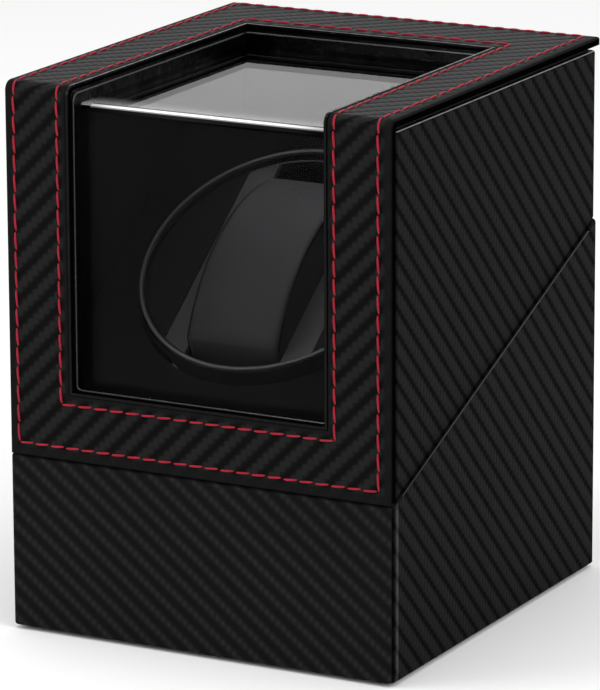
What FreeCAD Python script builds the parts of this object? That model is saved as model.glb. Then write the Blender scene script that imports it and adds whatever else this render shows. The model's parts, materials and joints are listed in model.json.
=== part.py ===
import FreeCAD, Part
import math
import os
from types import SimpleNamespace

import Sketcher

# A single-watch winder: a wrapped box with a hinged, windowed lid over a tilted, belt-driven drum.
# X is the width, Y runs from the front to the back, Z is up, and the origin is at the bottom centre.

# Driving sizes in millimetres and degrees
SIZES = {
    # Base box
    "width": 126.0,
    "depth": 136.0,
    "height": 165.0,
    "wall": 7.0,
    "corner_round": 2.0,
    "rim_round": 0.7,
    "split_front": 53.0,
    "split_back": 110.0,
    "split_gap": 0.4,
    "skirt_gap": 1.2,
    "panel_thick": 5.0,
    "foot_height": 3.0,
    "foot_radius": 7.0,
    "foot_inset": 15.0,
    "panel_screw_spread": 68.0,
    # Lid
    "lid_wall": 6.0,
    "lid_inset": 0.8,
    "cover_thick": 2.5,
    "cover_lip": 0.4,
    "cover_tail": 0.8,
    "cover_round": 0.9,
    "ridge_round": 3.0,
    "shadow_gap": 1.5,
    "shadow_depth": 2.0,
    "backer_thick": 3.5,
    "backer_round": 0.6,
    "strip_side": 21.2,
    "strip_bottom": 21.5,
    "strip_back": 29.0,
    "trim_thick": 0.8,
    "pane_thick": 2.0,
    "pane_lap": 4.0,
    "pane_bend": 3.0,
    "pane_inner_bend": 1.0,
    "lining_thick": 1.0,
    # Hinges
    "hinge_offset": 32.0,
    "hinge_width": 26.0,
    "knuckle_width": 9.0,
    "knuckle_gap": 0.3,
    "barrel_radius": 2.0,
    "barrel_gap": 0.3,
    "pin_radius": 1.0,
    "pin_fit": 0.05,
    "leaf_thick": 1.0,
    "leaf_height": 11.0,
    "leaf_gap": 0.6,
    "leaf_screw_spread": 16.0,
    # Drum and what it turns in
    "drum_setback": 49.2,
    "drum_height": 108.9,
    "drum_tilt": 37.0,
    "drum_gap": 1.2,
    "lip_radius": 42.0,
    "lip_width": 2.5,
    "lip_round": 1.1,
    "rim_height": 5.0,
    "rim_flange_radius": 39.3,
    "rim_flange_thick": 1.2,
    "cup_depth": 36.0,
    "cup_wall": 2.0,
    "cup_floor_radius": 37.0,
    "cup_floor_thick": 2.0,
    "face_thick": 1.8,
    "face_fit": 0.25,
    "face_chord": 24.0,
    "face_gap": 0.1,
    "tray_flange_thick": 1.5,
    "tray_wall": 1.5,
    "tray_length": 56.0,
    "tray_floor_thick": 1.5,
    "tray_floor_length": 40.0,
    # Watch pillow, in the drum's own directions
    "pillow_width": 30.0,
    "pillow_length": 63.0,
    "pillow_bulge": 1.8,
    "pillow_crown": 11.0,
    "pillow_shoulder": 1.5,
    "pillow_haunch": 20.0,
    "pillow_depth": 30.7,
    "pillow_shift": 3.0,
    "pillow_draw": 1.5,
    "pillow_edge": 2.5,
    "pillow_edge_draw": 0.35,
    "pillow_fit": 0.5,
    "pillow_rest": 0.45,
    # Inner frame that carries the deck round the drum
    "cheek_thick": 3.0,
    "cheek_gap": 0.8,
    "riser_thick": 3.0,
    "riser_gap": 0.6,
    "deck_drop": 5.0,
    "deck_thick": 4.0,
    "deck_reach": 50.0,
    "heel_gap": 5.0,
    # Drive under the drum
    "chassis_drop": 52.0,
    "chassis_thick": 3.0,
    "chassis_length": 68.0,
    "chassis_fit": 0.3,
    "chassis_screw_spread": 56.0,
    "rail_width": 5.0,
    "rail_height": 6.0,
    "spindle_radius": 4.0,
    "spindle_fit": 0.05,
    "spindle_tail": 4.0,
    "bush_radius": 8.0,
    "bush_length": 18.0,
    "bush_flange_radius": 12.0,
    "bush_flange_thick": 2.0,
    "washer_radius": 9.0,
    "washer_thick": 1.6,
    "thrust_gap": 0.2,
    "clip_thick": 1.1,
    "clip_radius": 6.5,
    "clip_groove": 0.6,
    "clip_gap": 0.3,
    "clip_mouth": 4.0,
    "belt_drop": 44.0,
    "belt_width": 4.0,
    "belt_thick": 1.2,
    "belt_gap": 0.3,
    "groove_width": 5.2,
    "groove_depth": 2.2,
    "drum_pulley_radius": 17.0,
    "drum_screw_circle": 10.0,
    "motor_pulley_radius": 5.0,
    "motor_pulley_height": 7.2,
    "gearbox_gap": 0.9,
    "motor_shaft_radius": 2.0,
    "motor_shaft_hole": 4.0,
    "motor_shaft_depth": 10.0,
    "gearbox_width": 31.0,
    "gearbox_length": 26.0,
    "gearbox_height": 18.0,
    "motor_radius": 12.0,
    "motor_length": 22.0,
    "motor_round": 2.0,
    "motor_screw_spread": 18.0,
    # Controls in a recess of the back board
    "control_across": -14.0,
    "control_height": 37.0,
    "control_width": 48.0,
    "control_rise": 26.0,
    "plate_lap": 6.0,
    "plate_thick": 2.0,
    "board_gap": 8.0,
    "board_thick": 1.6,
    "board_lap": 2.0,
    "post_radius": 2.2,
    "post_inset": 4.0,
    "knob_across": -14.0,
    "knob_radius": 8.0,
    "knob_height": 5.0,
    "knob_gap": 0.4,
    "knob_shaft_radius": 3.0,
    "knob_shaft_depth": 5.0,
    "pointer_width": 1.6,
    "pointer_height": 0.8,
    "switch_side": 16.0,
    "switch_bore": 6.0,
    "button_across": 3.0,
    "button_radius": 4.0,
    "button_proud": 3.0,
    "button_depth": 3.0,
    "button_side": 12.0,
    "control_fit": 0.08,
    "jack_across": 16.0,
    "jack_width": 11.0,
    "jack_rise": 10.0,
    "jack_radius": 4.4,
    "jack_bore": 2.75,
    "jack_pin": 1.0,
    "jack_depth": 9.0,
    "chip_side": 12.0,
    "chip_thick": 1.8,
    "capacitor_radius": 3.0,
    "capacitor_length": 7.0,
    # Small screws
    "screw_radius": 1.1,
    "screw_head_radius": 2.1,
    "screw_head_thick": 1.2,
    "screw_length": 8.0,
    "short_screw_length": 5.0,
}

# How far a cutting shape runs past what it cuts, and how close counts as touching
SPARE = 20.0
TINY = 1e-4

DOC = FreeCAD.newDocument("WatchWinder")
SHEET = DOC.addObject("Spreadsheet::Sheet", "Sizes")
for row, (alias, number) in enumerate(SIZES.items(), 1):
    SHEET.set(f"A{row}", alias)
    SHEET.set(f"B{row}", str(number))
    SHEET.setAlias(f"B{row}", alias)
DOC.recompute()

NODES = []


class Size:
    """A number together with the expression that works it out from the sheet."""

    def __init__(self, value, text):
        self.value = value
        self.text = text

    @staticmethod
    def of(amount):
        return amount if isinstance(amount, Size) else Size(float(amount), f"({float(amount)})")

    def __add__(self, other):
        other = Size.of(other)
        return Size(self.value + other.value, f"({self.text} + {other.text})")

    def __sub__(self, other):
        other = Size.of(other)
        return Size(self.value - other.value, f"({self.text} - {other.text})")

    def __mul__(self, other):
        other = Size.of(other)
        return Size(self.value * other.value, f"({self.text} * {other.text})")

    def __truediv__(self, other):
        other = Size.of(other)
        return Size(self.value / other.value, f"({self.text} / {other.text})")

    def __neg__(self):
        return Size(-self.value, f"(-1 * {self.text})")

    def __radd__(self, other):
        return Size.of(other) + self

    def __rsub__(self, other):
        return Size.of(other) - self

    def __rmul__(self, other):
        return Size.of(other) * self


def sine(angle):
    return Size(math.sin(math.radians(angle.value)), f"sin({angle.text} * 1 deg)")


def cosine(angle):
    return Size(math.cos(math.radians(angle.value)), f"cos({angle.text} * 1 deg)")


def root(amount):
    return Size(math.sqrt(amount.value), f"sqrt({amount.text})")


s = SimpleNamespace(
    **{alias: Size(float(getattr(SHEET, alias)), f"Sizes.{alias}") for alias in SIZES}
)
ZERO = Size.of(0)


# Places that several pieces share
half = s.width / 2
y_front = -(s.depth + s.barrel_gap + s.barrel_radius * 2) / 2
y_back = y_front + s.depth
base_inner = half - s.wall
shell_half = half - s.lid_inset
lid_inner = shell_half - s.lid_wall
cover_half = shell_half + s.cover_lip
window_depth = s.cover_thick + s.backer_thick
window_half = cover_half - s.strip_side
window_bottom = s.split_front + s.strip_bottom
window_back = y_back - s.strip_back
floor_top = s.foot_height + s.panel_thick
cheek_outer = lid_inner - s.lining_thick - s.cheek_gap
cheek_inner = cheek_outer - s.cheek_thick
riser_front = y_front + window_depth + s.pane_thick + s.riser_gap
rail_inner = cheek_inner - s.rail_width
motor_x = rail_inner - s.gearbox_gap - s.gearbox_width / 2
hinge_y = y_back + s.barrel_gap + s.barrel_radius
drum_y = y_front + s.drum_setback
tilt_sin = sine(s.drum_tilt)
tilt_cos = cosine(s.drum_tilt)
plate_inner = y_back - s.wall - s.plate_thick
board_face = plate_inner - s.board_gap


def split_at(y):
    """Height of the parting plane between base and lid."""
    return s.split_front + (s.split_back - s.split_front) * (y - y_front) / s.depth


def tilted(slope, lift):
    """World (y, z) of a point given up the drum's face and along the drum's axis."""
    return (
        drum_y + slope * tilt_cos - lift * tilt_sin,
        s.drum_height + slope * tilt_sin + lift * tilt_cos,
    )


def deck_line(y, lift):
    """Height at y of the plane that lies lift above the drum's face plane."""
    return s.drum_height + ((y - drum_y) * tilt_sin + lift) / tilt_cos


hinge_z = split_at(hinge_y)


def bind(thing, path, amount):
    thing.setExpression(path, Size.of(amount).text)


def node(thing, label):
    thing.Label = label
    NODES.append(thing)
    return thing


def box(name, x, y, z):
    """A box between low and high on each axis."""
    item = DOC.addObject("Part::Box", name)
    for path, axis, (low, high) in (("Length", "x", x), ("Width", "y", y), ("Height", "z", z)):
        bind(item, path, Size.of(high) - low)
        bind(item, f"Placement.Base.{axis}", low)
    return item


def rod(name, along, at, span, radius):
    """A cylinder along a world axis, through at on the other two axes."""
    turns = {
        "x": FreeCAD.Rotation(FreeCAD.Vector(0, 1, 0), 90),
        "y": FreeCAD.Rotation(FreeCAD.Vector(1, 0, 0), -90),
        "z": FreeCAD.Rotation(),
    }
    item = DOC.addObject("Part::Cylinder", name)
    item.Placement = FreeCAD.Placement(FreeCAD.Vector(), turns[along])
    bind(item, "Radius", radius)
    bind(item, "Height", Size.of(span[1]) - span[0])
    base = dict(zip([axis for axis in "xyz" if axis != along], at))
    base[along] = span[0]
    for axis, amount in base.items():
        bind(item, f"Placement.Base.{axis}", amount)
    return item


def tilt(item, x, slope, lift):
    """Turn an item into the drum's directions, with its origin at a point of them."""
    item.Placement = FreeCAD.Placement(
        FreeCAD.Vector(), FreeCAD.Rotation(FreeCAD.Vector(1, 0, 0), s.drum_tilt.value)
    )
    y, z = tilted(Size.of(slope), Size.of(lift))
    bind(item, "Placement.Base.x", x)
    bind(item, "Placement.Base.y", y)
    bind(item, "Placement.Base.z", z)
    bind(item, "Placement.Rotation.Angle", s.drum_tilt)
    return item


def tilted_box(name, x, slope, lift):
    item = DOC.addObject("Part::Box", name)
    for path, (low, high) in (("Length", x), ("Width", slope), ("Height", lift)):
        bind(item, path, Size.of(high) - low)
    return tilt(item, x[0], slope[0], lift[0])


def tilted_rod(name, x, slope, lift, radius):
    item = DOC.addObject("Part::Cylinder", name)
    bind(item, "Radius", radius)
    bind(item, "Height", Size.of(lift[1]) - lift[0])
    return tilt(item, x, slope, lift[0])


def cut(name, base, *tools):
    item = DOC.addObject("Part::Cut", name)
    item.Base = base
    item.Tool = tools[0] if len(tools) == 1 else group(name + "Tools", *tools)
    return item


def common(name, base, tool):
    item = DOC.addObject("Part::Common", name)
    item.Base = base
    item.Tool = tool
    return item


def fuse(name, *pieces):
    item = DOC.addObject("Part::MultiFuse", name)
    item.Shapes = list(pieces)
    return item


def group(name, *pieces):
    """Separate solids kept together."""
    item = DOC.addObject("Part::Compound", name)
    item.Links = list(pieces)
    return item


def rounded_path(corners):
    """Start points, each with the radius of the arc that follows it, from square-cornered corners."""
    path = []
    for index, corner in enumerate(corners):
        across, up = Size.of(corner[0]), Size.of(corner[1])
        if len(corner) == 2:
            path.append((across, up, None, None))
            continue
        radius = corner[2]
        before = corners[index - 1]
        after = corners[(index + 1) % len(corners)]
        ends = []
        for other in (before, after):
            step_across = Size.of(other[0]).value - across.value
            step_up = Size.of(other[1]).value - up.value
            if abs(step_across) > abs(step_up):
                ends.append((across + radius * math.copysign(1, step_across), up))
            else:
                ends.append((across, up + radius * math.copysign(1, step_up)))
        centre = (ends[0][0] + ends[1][0] - across, ends[0][1] + ends[1][1] - up)
        path.append((*ends[0], radius, centre))
        path.append((*ends[1], None, None))
    return path


def draw_loop(sketch, corners):
    """A closed outline whose corners, and corner radii, follow the sheet."""
    path = rounded_path(corners)
    first = sketch.GeometryCount
    count = len(path)
    for index, (across, up, radius, centre) in enumerate(path):
        end_across, end_up = path[(index + 1) % count][:2]
        start = FreeCAD.Vector(across.value, up.value, 0)
        end = FreeCAD.Vector(end_across.value, end_up.value, 0)
        if radius is None:
            sketch.addGeometry(Part.LineSegment(start, end), False)
            continue
        middle = FreeCAD.Vector(centre[0].value, centre[1].value, 0)
        outward = (start + end) / 2 - middle
        outward.normalize()
        sketch.addGeometry(Part.Arc(start, middle + outward * radius.value, end), False)
    for index, (across, up, radius, centre) in enumerate(path):
        here = first + index
        following = first + (index + 1) % count
        ends = start_and_end(sketch, here, across, up)
        next_ends = start_and_end(sketch, following, *path[(index + 1) % count][:2])
        sketch.addConstraint(Sketcher.Constraint("Coincident", here, ends[1], following, next_ends[0]))
        pin_point(sketch, here, ends[0], across, up)
        if radius is not None:
            number = sketch.addConstraint(Sketcher.Constraint("Radius", here, radius.value))
            name_and_bind(sketch, number, f"round{here}", radius)


def start_and_end(sketch, index, across, up):
    """Sketch point numbers of the end that lies at a place, then of the other end."""
    near = sketch.getPoint(index, 1) - FreeCAD.Vector(across.value, up.value, 0)
    return (1, 2) if near.Length < 1e-6 else (2, 1)


def pin_point(sketch, index, end, across, up):
    for kind, name, amount in (("DistanceX", "across", across), ("DistanceY", "up", up)):
        number = sketch.addConstraint(Sketcher.Constraint(kind, -1, 1, index, end, amount.value))
        name_and_bind(sketch, number, f"{name}{index}", amount)


def name_and_bind(sketch, number, name, amount):
    sketch.renameConstraint(number, name)
    bind(sketch, f"Constraints.{name}", amount)


def draw(body, role, loops, offset=ZERO):
    """A sketch on one of the body's origin planes, moved along that plane's normal."""
    sketch = body.newObject("Sketcher::SketchObject", body.Name + "Outline")
    plane = next(item for item in body.Origin.OriginFeatures if item.Role == role)
    sketch.AttachmentSupport = [(plane, "")]
    sketch.MapMode = "FlatFace"
    bind(sketch, "AttachmentOffset.Base.z", offset)
    for loop in loops:
        draw_loop(sketch, loop)
    return sketch


def pad(body, sketch, length, middle=False):
    feature = body.newObject("PartDesign::Pad", body.Name + "Pad")
    feature.Profile = sketch
    feature.Midplane = middle
    bind(feature, "Length", length)
    return feature


def pocket_across(body, loops, width):
    """A cut through the body, across X, with a side-view outline."""
    DOC.recompute()
    before = body.Shape.Volume
    feature = body.newObject("PartDesign::Pocket", body.Name + "Pocket")
    feature.Profile = draw(body, "YZ_Plane", loops)
    feature.Midplane = True
    bind(feature, "Length", width)
    DOC.recompute()
    if body.Shape.Volume >= before:
        raise RuntimeError(body.Name + ": the cut missed")


def round_edges(body, radius, wanted):
    DOC.recompute()
    tip = body.Tip
    names = [f"Edge{number}" for number, edge in enumerate(tip.Shape.Edges, 1) if wanted(edge)]
    feature = body.newObject("PartDesign::Fillet", body.Name + "Round")
    feature.Base = (tip, names)
    bind(feature, "Radius", radius)


def slab(name, role, loops, span):
    """A body padded between two places along the normal of an origin plane."""
    body = DOC.addObject("PartDesign::Body", name)
    pad(body, draw(body, role, loops, Size.of(span[0])), Size.of(span[1]) - span[0])
    return body


def turned(name, corners):
    """A body turned about the drum's axis from (radius, lift) corners, in the drum's directions."""
    body = DOC.addObject("PartDesign::Body", name)
    feature = body.newObject("PartDesign::Revolution", name + "Turn")
    sketch = draw(body, "XZ_Plane", [corners])
    feature.Profile = sketch
    feature.ReferenceAxis = (sketch, ["V_Axis"])
    feature.Angle = 360
    return body


def points_of(edge):
    """Start, middle and end of an edge."""
    first, last = edge.FirstParameter, edge.LastParameter
    return [edge.valueAt(first + (last - first) * share) for share in (0, 0.5, 1)]


def near(one, other):
    return abs(one - other.value) < TINY


def l_band(name, near_depth, far_depth, half_width, bottom, back, outer_round=None, inner_round=None):
    """A body that lines the box's front and top between two depths, bent or square at the ridge."""
    outer_y, inner_y = y_front + near_depth, y_front + far_depth
    outer_z, inner_z = s.height - near_depth, s.height - far_depth
    corners = [
        (outer_y, bottom(outer_y)),
        (outer_y, outer_z, outer_round) if outer_round else (outer_y, outer_z),
        (back, outer_z),
        (back, inner_z),
        (inner_y, inner_z, inner_round) if inner_round else (inner_y, inner_z),
        (inner_y, bottom(inner_y)),
    ]
    body = DOC.addObject("PartDesign::Body", name)
    pad(body, draw(body, "YZ_Plane", [corners]), half_width * 2, middle=True)
    return body


def lid_foot(y):
    """Underside of the lid at y."""
    return split_at(y) + s.split_gap / 2


def window_box(name, grow):
    """The window opening, through the front and the top, widened by grow on its three closed sides."""
    reach = window_half + grow
    return box(
        name,
        (-reach, reach),
        (y_front - SPARE, window_back + grow),
        (window_bottom - grow, s.height + SPARE),
    )


def screws(name, maker, places, face, length, outward):
    """A group of pan-head screws whose heads bear on face and stand outward from it."""
    pieces = []
    for number, place in enumerate(places):
        head = sorted((face, face + s.screw_head_thick * outward), key=lambda size: size.value)
        shank = sorted((face, face - length * outward), key=lambda size: size.value)
        pieces.append(
            fuse(
                f"{name}{number}",
                maker(f"{name}Head{number}", place, head, s.screw_head_radius),
                maker(f"{name}Shank{number}", place, shank, s.screw_radius),
            )
        )
    return group(name, *pieces)


def upright(name, place, span, radius):
    return rod(name, "z", place, span, radius)


def rearward(name, place, span, radius):
    return rod(name, "y", place, span, radius)


def slanted(name, place, span, radius):
    return tilted_rod(name, place[0], place[1], span, radius)


# Base box


def base_boards():
    """Four wrapped boards cut by the parting plane, rounded where the wrap turns."""
    body = DOC.addObject("PartDesign::Body", "BaseCarcass")
    outer = [(x, y, s.corner_round) for x, y in outline(half, y_front, y_back)]
    inner = outline(base_inner, y_front + s.wall, y_back - s.wall)
    sketch = draw(body, "XY_Plane", [outer, inner], s.skirt_gap)
    pad(body, sketch, s.height - s.skirt_gap)
    above = [
        (y_front - SPARE, base_rim(y_front - SPARE)),
        (y_back + SPARE, base_rim(y_back + SPARE)),
        (y_back + SPARE, s.height + SPARE),
        (y_front - SPARE, s.height + SPARE),
    ]
    pocket_across(body, [above], s.width * 2)

    def wrapped(edge):
        points = points_of(edge)
        outside = all(on_outline(point, half, y_front) for point in points)
        on_rim = all(near(point.z, base_rim(Size.of(point.y))) for point in points)
        at_foot = all(near(point.z, s.skirt_gap) for point in points)
        return outside and (on_rim or at_foot)

    round_edges(body, s.rim_round, wrapped)
    tall = (-SPARE, s.height + SPARE)
    deep = (y_front - SPARE, y_back + SPARE)
    wide = (-base_inner, base_inner)
    pieces = {
        "base_left_board": ((-half - SPARE, -base_inner), deep),
        "base_right_board": ((base_inner, half + SPARE), deep),
        "base_front_board": (wide, (y_front - SPARE, y_front + s.wall)),
        "base_back_board": (wide, (y_back - s.wall, y_back + SPARE)),
    }
    return split_boards(body, pieces, tall)


def split_boards(body, pieces, tall):
    """The boards that a wrapped shell is made of, by label."""
    boards = {}
    for label, (x, y) in pieces.items():
        name = label.title().replace("_", "")
        boards[label] = common(name, body, box(name + "Place", x, y, tall))
    return boards


def on_outline(point, half_width, front):
    """Whether a point lies on the outside of a box with rounded upright edges."""
    radius = s.corner_round.value
    across = max(abs(point.x) - half_width.value + radius, 0)
    behind = max(point.y - y_back.value + radius, front.value + radius - point.y, 0)
    return abs(math.hypot(across, behind) - radius) < TINY


def outline(half_width, low, high):
    return [(-half_width, low), (half_width, low), (half_width, high), (-half_width, high)]


def base_rim(y):
    """Top of the base at y."""
    return split_at(y) - s.split_gap / 2


def feet():
    x = half - s.foot_inset
    pieces = [
        rod(f"Foot{side}{end}", "z", (x * side, place), (ZERO, s.foot_height), s.foot_radius)
        for side in (-1, 1)
        for end, place in (("F", y_front + s.foot_inset), ("B", y_back - s.foot_inset))
    ]
    node(group("Feet", *pieces), "rubber_feet")


def base_floor(screw_group):
    panel = box(
        "BottomPanel",
        (-base_inner, base_inner),
        (y_front + s.wall, y_back - s.wall),
        (s.foot_height, floor_top),
    )
    node(cut("BottomPanelBored", panel, screw_group), "bottom_panel")


# Lid


def cover_frame():
    """The wrapped frame of the front and the top, with its edges and the window's edges rounded."""
    body = l_band(
        "CoverFrame",
        ZERO,
        s.cover_thick,
        cover_half,
        lid_foot,
        y_back + s.cover_tail,
        s.ridge_round,
        s.backer_round,
    )
    reach = window_half + s.trim_thick
    low, back = window_bottom - s.trim_thick, window_back + s.trim_thick
    opening = [
        (y_front - SPARE, low),
        (back, low),
        (back, s.height + SPARE),
        (y_front - SPARE, s.height + SPARE),
    ]
    pocket_across(body, [opening], reach * 2)

    ridge_y, ridge_z = y_front + s.ridge_round, s.height - s.ridge_round

    def on_skin(point):
        ahead = max(ridge_y.value - point.y, 0)
        above = max(point.z - ridge_z.value, 0)
        return near(math.hypot(ahead, above), s.ridge_round)

    def shown(edge):
        middle = points_of(edge)[1]
        at_front = near(middle.y, y_front) and near(middle.z, ridge_z)
        at_top = near(middle.y, ridge_y) and near(middle.z, s.height)
        return all(on_skin(point) for point in points_of(edge)) and not (at_front or at_top)

    round_edges(body, s.cover_round, shown)
    node(body, "lid_cover_frame")


def backer_frame():
    """The plain frame behind the cover: a lip on the lid's boards, and a band between them for the pane."""
    step = s.cover_thick + s.shadow_gap
    lip = l_band(
        "BackerLip",
        s.cover_thick,
        step,
        shell_half - s.shadow_depth,
        lid_foot,
        y_back - s.shadow_depth,
        outer_round=s.backer_round,
    )
    band = l_band(
        "BackerBand",
        step,
        window_depth,
        lid_inner,
        lid_foot,
        y_back - s.lid_wall,
        inner_round=s.pane_bend,
    )
    whole = fuse("BackerWhole", lip, band)
    node(cut("BackerFrame", whole, window_box("BackerOpening", s.trim_thick)), "lid_backer_frame")


def window_trim():
    """The glossy lining of the window opening's walls."""
    band = l_band(
        "TrimBand",
        ZERO,
        window_depth,
        cover_half,
        lid_foot,
        y_back,
        s.ridge_round,
        s.pane_bend,
    )
    walls = cut("TrimWalls", window_box("TrimOuter", s.trim_thick), window_box("TrimInner", ZERO))
    node(common("Trim", band, walls), "window_trim")


def window_pane():
    lap = s.trim_thick + s.pane_lap
    body = l_band(
        "Pane",
        window_depth,
        window_depth + s.pane_thick,
        window_half + lap,
        lambda y: window_bottom - lap,
        window_back + lap,
        s.pane_bend,
        s.pane_inner_bend,
    )
    node(body, "window_pane")


def lid_boards():
    """The lid's two sides and back, below and behind a shadow gap under the cover frame."""
    front = y_front + s.cover_thick + s.shadow_gap
    top = s.height - s.cover_thick - s.shadow_gap
    body = DOC.addObject("PartDesign::Body", "LidShell")
    loop = [
        (-shell_half, front),
        (-lid_inner, front),
        (-lid_inner, y_back - s.lid_wall),
        (lid_inner, y_back - s.lid_wall),
        (lid_inner, front),
        (shell_half, front),
        (shell_half, y_back, s.corner_round),
        (-shell_half, y_back, s.corner_round),
    ]
    pad(body, draw(body, "XY_Plane", [loop]), top)
    below = [
        (y_front - SPARE, lid_foot(y_front - SPARE)),
        (y_back + SPARE, lid_foot(y_back + SPARE)),
        (y_back + SPARE, -SPARE),
        (y_front - SPARE, -SPARE),
    ]
    pocket_across(body, [below], s.width * 2)

    def wrapped(edge):
        points = points_of(edge)
        outside = all(on_outline(point, shell_half, y_front - s.corner_round) for point in points)
        on_foot = all(near(point.z, lid_foot(Size.of(point.y))) for point in points)
        on_top = all(near(point.z, top) for point in points)
        on_front = all(near(point.y, front) for point in points)
        return outside and (on_foot or on_top or on_front)

    round_edges(body, s.rim_round, wrapped)
    tall = (-SPARE, s.height + SPARE)
    deep = (y_front - SPARE, y_back + SPARE)
    pieces = {
        "lid_left_board": ((-shell_half - SPARE, -lid_inner), deep),
        "lid_right_board": ((lid_inner, shell_half + SPARE), deep),
        "lid_back_board": ((-lid_inner, lid_inner), (y_back - s.lid_wall, y_back + SPARE)),
    }
    return split_boards(body, pieces, tall)


def lid_linings():
    front, back = y_front + window_depth, y_back - s.lid_wall
    top = s.height - window_depth
    inside = lid_inner - s.lining_thick
    side = [(front, lid_foot(front)), (back, lid_foot(back)), (back, top), (front, top, s.pane_bend)]
    node(slab("LiningLeft", "YZ_Plane", [side], (-lid_inner, -inside)), "lid_lining_left")
    node(slab("LiningRight", "YZ_Plane", [side], (inside, lid_inner)), "lid_lining_right")
    fore = back - s.lining_thick
    rear = [(fore, lid_foot(fore)), (back, lid_foot(back)), (back, top), (fore, top)]
    node(slab("LiningBack", "YZ_Plane", [rear], (-inside, inside)), "lid_lining_back")


# Hinges


def hinge_leaf(name, centre, rise, knuckles):
    """A leaf on the back face, above or below the pin, with its share of the knuckles."""
    side = 1 if rise > 0 else -1
    clear = s.barrel_radius + s.leaf_gap
    edges = sorted((hinge_z + clear * side, hinge_z + (clear + s.leaf_height) * side), key=lambda z: z.value)
    reach = s.hinge_width / 2
    on_face = (y_back, y_back + s.leaf_thick)
    pieces = [box(name + "Plate", (centre - reach, centre + reach), on_face, edges)]
    for number, (low, high) in enumerate(knuckles):
        span = (centre + low, centre + high)
        tab = sorted((hinge_z, hinge_z + (clear + s.leaf_gap) * side), key=lambda z: z.value)
        pieces.append(box(f"{name}Tab{number}", span, on_face, tab))
        pieces.append(rod(f"{name}Barrel{number}", "x", (hinge_y, hinge_z), span, s.barrel_radius))
    return fuse(name + "Leaf", *pieces)


def hinges():
    """Two butt hinges on the back faces: leaves, pins and screws."""
    reach = s.hinge_width / 2
    middle = s.knuckle_width / 2
    outer = middle + s.knuckle_gap
    base_leaves, lid_leaves, pins, low_places, high_places = [], [], [], [], []
    base_holes, lid_holes = [], []
    for side, word in ((-1, "Left"), (1, "Right")):
        centre = s.hinge_offset * side
        base_leaves.append(hinge_leaf("BaseHinge" + word, centre, -1, [(-reach, -outer), (outer, reach)]))
        lid_leaves.append(hinge_leaf("LidHinge" + word, centre, 1, [(-middle, middle)]))
        span = (centre - reach, centre + reach)
        axis = (hinge_y, hinge_z)
        pins.append(rod("Pin" + word, "x", axis, span, s.pin_radius))
        base_holes.append(rod("PinBore" + word, "x", axis, span, s.pin_radius))
        lid_holes.append(rod("PinRun" + word, "x", axis, span, s.pin_radius + s.pin_fit))
        drop = s.barrel_radius + s.leaf_gap + s.leaf_height / 2
        for step in (-1, 1):
            across = centre + s.leaf_screw_spread / 2 * step
            low_places.append((across, hinge_z - drop))
            high_places.append((across, hinge_z + drop))
    face = y_back + s.leaf_thick
    low = screws("BaseHingeScrews", rearward, low_places, face, s.short_screw_length, 1)
    high = screws("LidHingeScrews", rearward, high_places, face, s.short_screw_length, 1)
    node(cut("BaseLeaves", group("BaseLeafPair", *base_leaves), *base_holes, low), "hinge_base_leaves")
    node(cut("LidLeaves", group("LidLeafPair", *lid_leaves), *lid_holes, high), "hinge_lid_leaves")
    node(group("Pins", *pins), "hinge_pins")
    node(low, "hinge_base_screws")
    node(high, "hinge_lid_screws")
    return low, high


# Inner frame


def inner_frame(screw_group):
    """Cheeks, risers and the tilted deck with the drum's hole."""
    deck_top, deck_under = -s.deck_drop, -s.deck_drop - s.deck_thick
    crest = tilted(s.deck_reach, deck_top)
    crest_under = tilted(s.deck_reach, deck_under)
    heel_y = y_back - s.wall - s.heel_gap
    riser_reach = (heel_y - drum_y - s.deck_reach * tilt_cos) / tilt_sin
    heel = tilted(s.deck_reach, -riser_reach)
    riser_back = riser_front + s.riser_thick
    between = (-cheek_inner, cheek_inner)
    cheek = [
        (riser_front, floor_top),
        (heel[0], floor_top),
        heel,
        crest,
        (riser_front, deck_line(riser_front, deck_top)),
    ]
    left = slab("CheekLeft", "YZ_Plane", [cheek], (-cheek_outer, -cheek_inner))
    right = slab("CheekRight", "YZ_Plane", [cheek], (cheek_inner, cheek_outer))
    node(cut("CheekLeftBored", left, screw_group), "cheek_left")
    node(cut("CheekRightBored", right, screw_group), "cheek_right")
    front = [
        (riser_front, floor_top),
        (riser_back, floor_top),
        (riser_back, deck_line(riser_back, deck_under)),
        (riser_front, deck_line(riser_front, deck_under)),
    ]
    node(slab("FrontRiser", "YZ_Plane", [front], between), "front_riser")
    inset = s.deck_reach - s.riser_thick
    rear = [crest_under, tilted(inset, deck_under), tilted(inset, -riser_reach), heel]
    node(slab("RearRiser", "YZ_Plane", [rear], between), "rear_riser")
    deck = [
        (riser_front, deck_line(riser_front, deck_under)),
        crest_under,
        crest,
        (riser_front, deck_line(riser_front, deck_top)),
    ]
    plate = slab("Deck", "YZ_Plane", [deck], between)
    hole = s.lip_radius + s.lip_width / 2 + s.drum_gap
    well = tilted_rod("DeckHole", ZERO, ZERO, (deck_under - SPARE, deck_top + SPARE), hole)
    node(cut("DeckOpen", plate, well), "deck_panel")


# Drum


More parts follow.
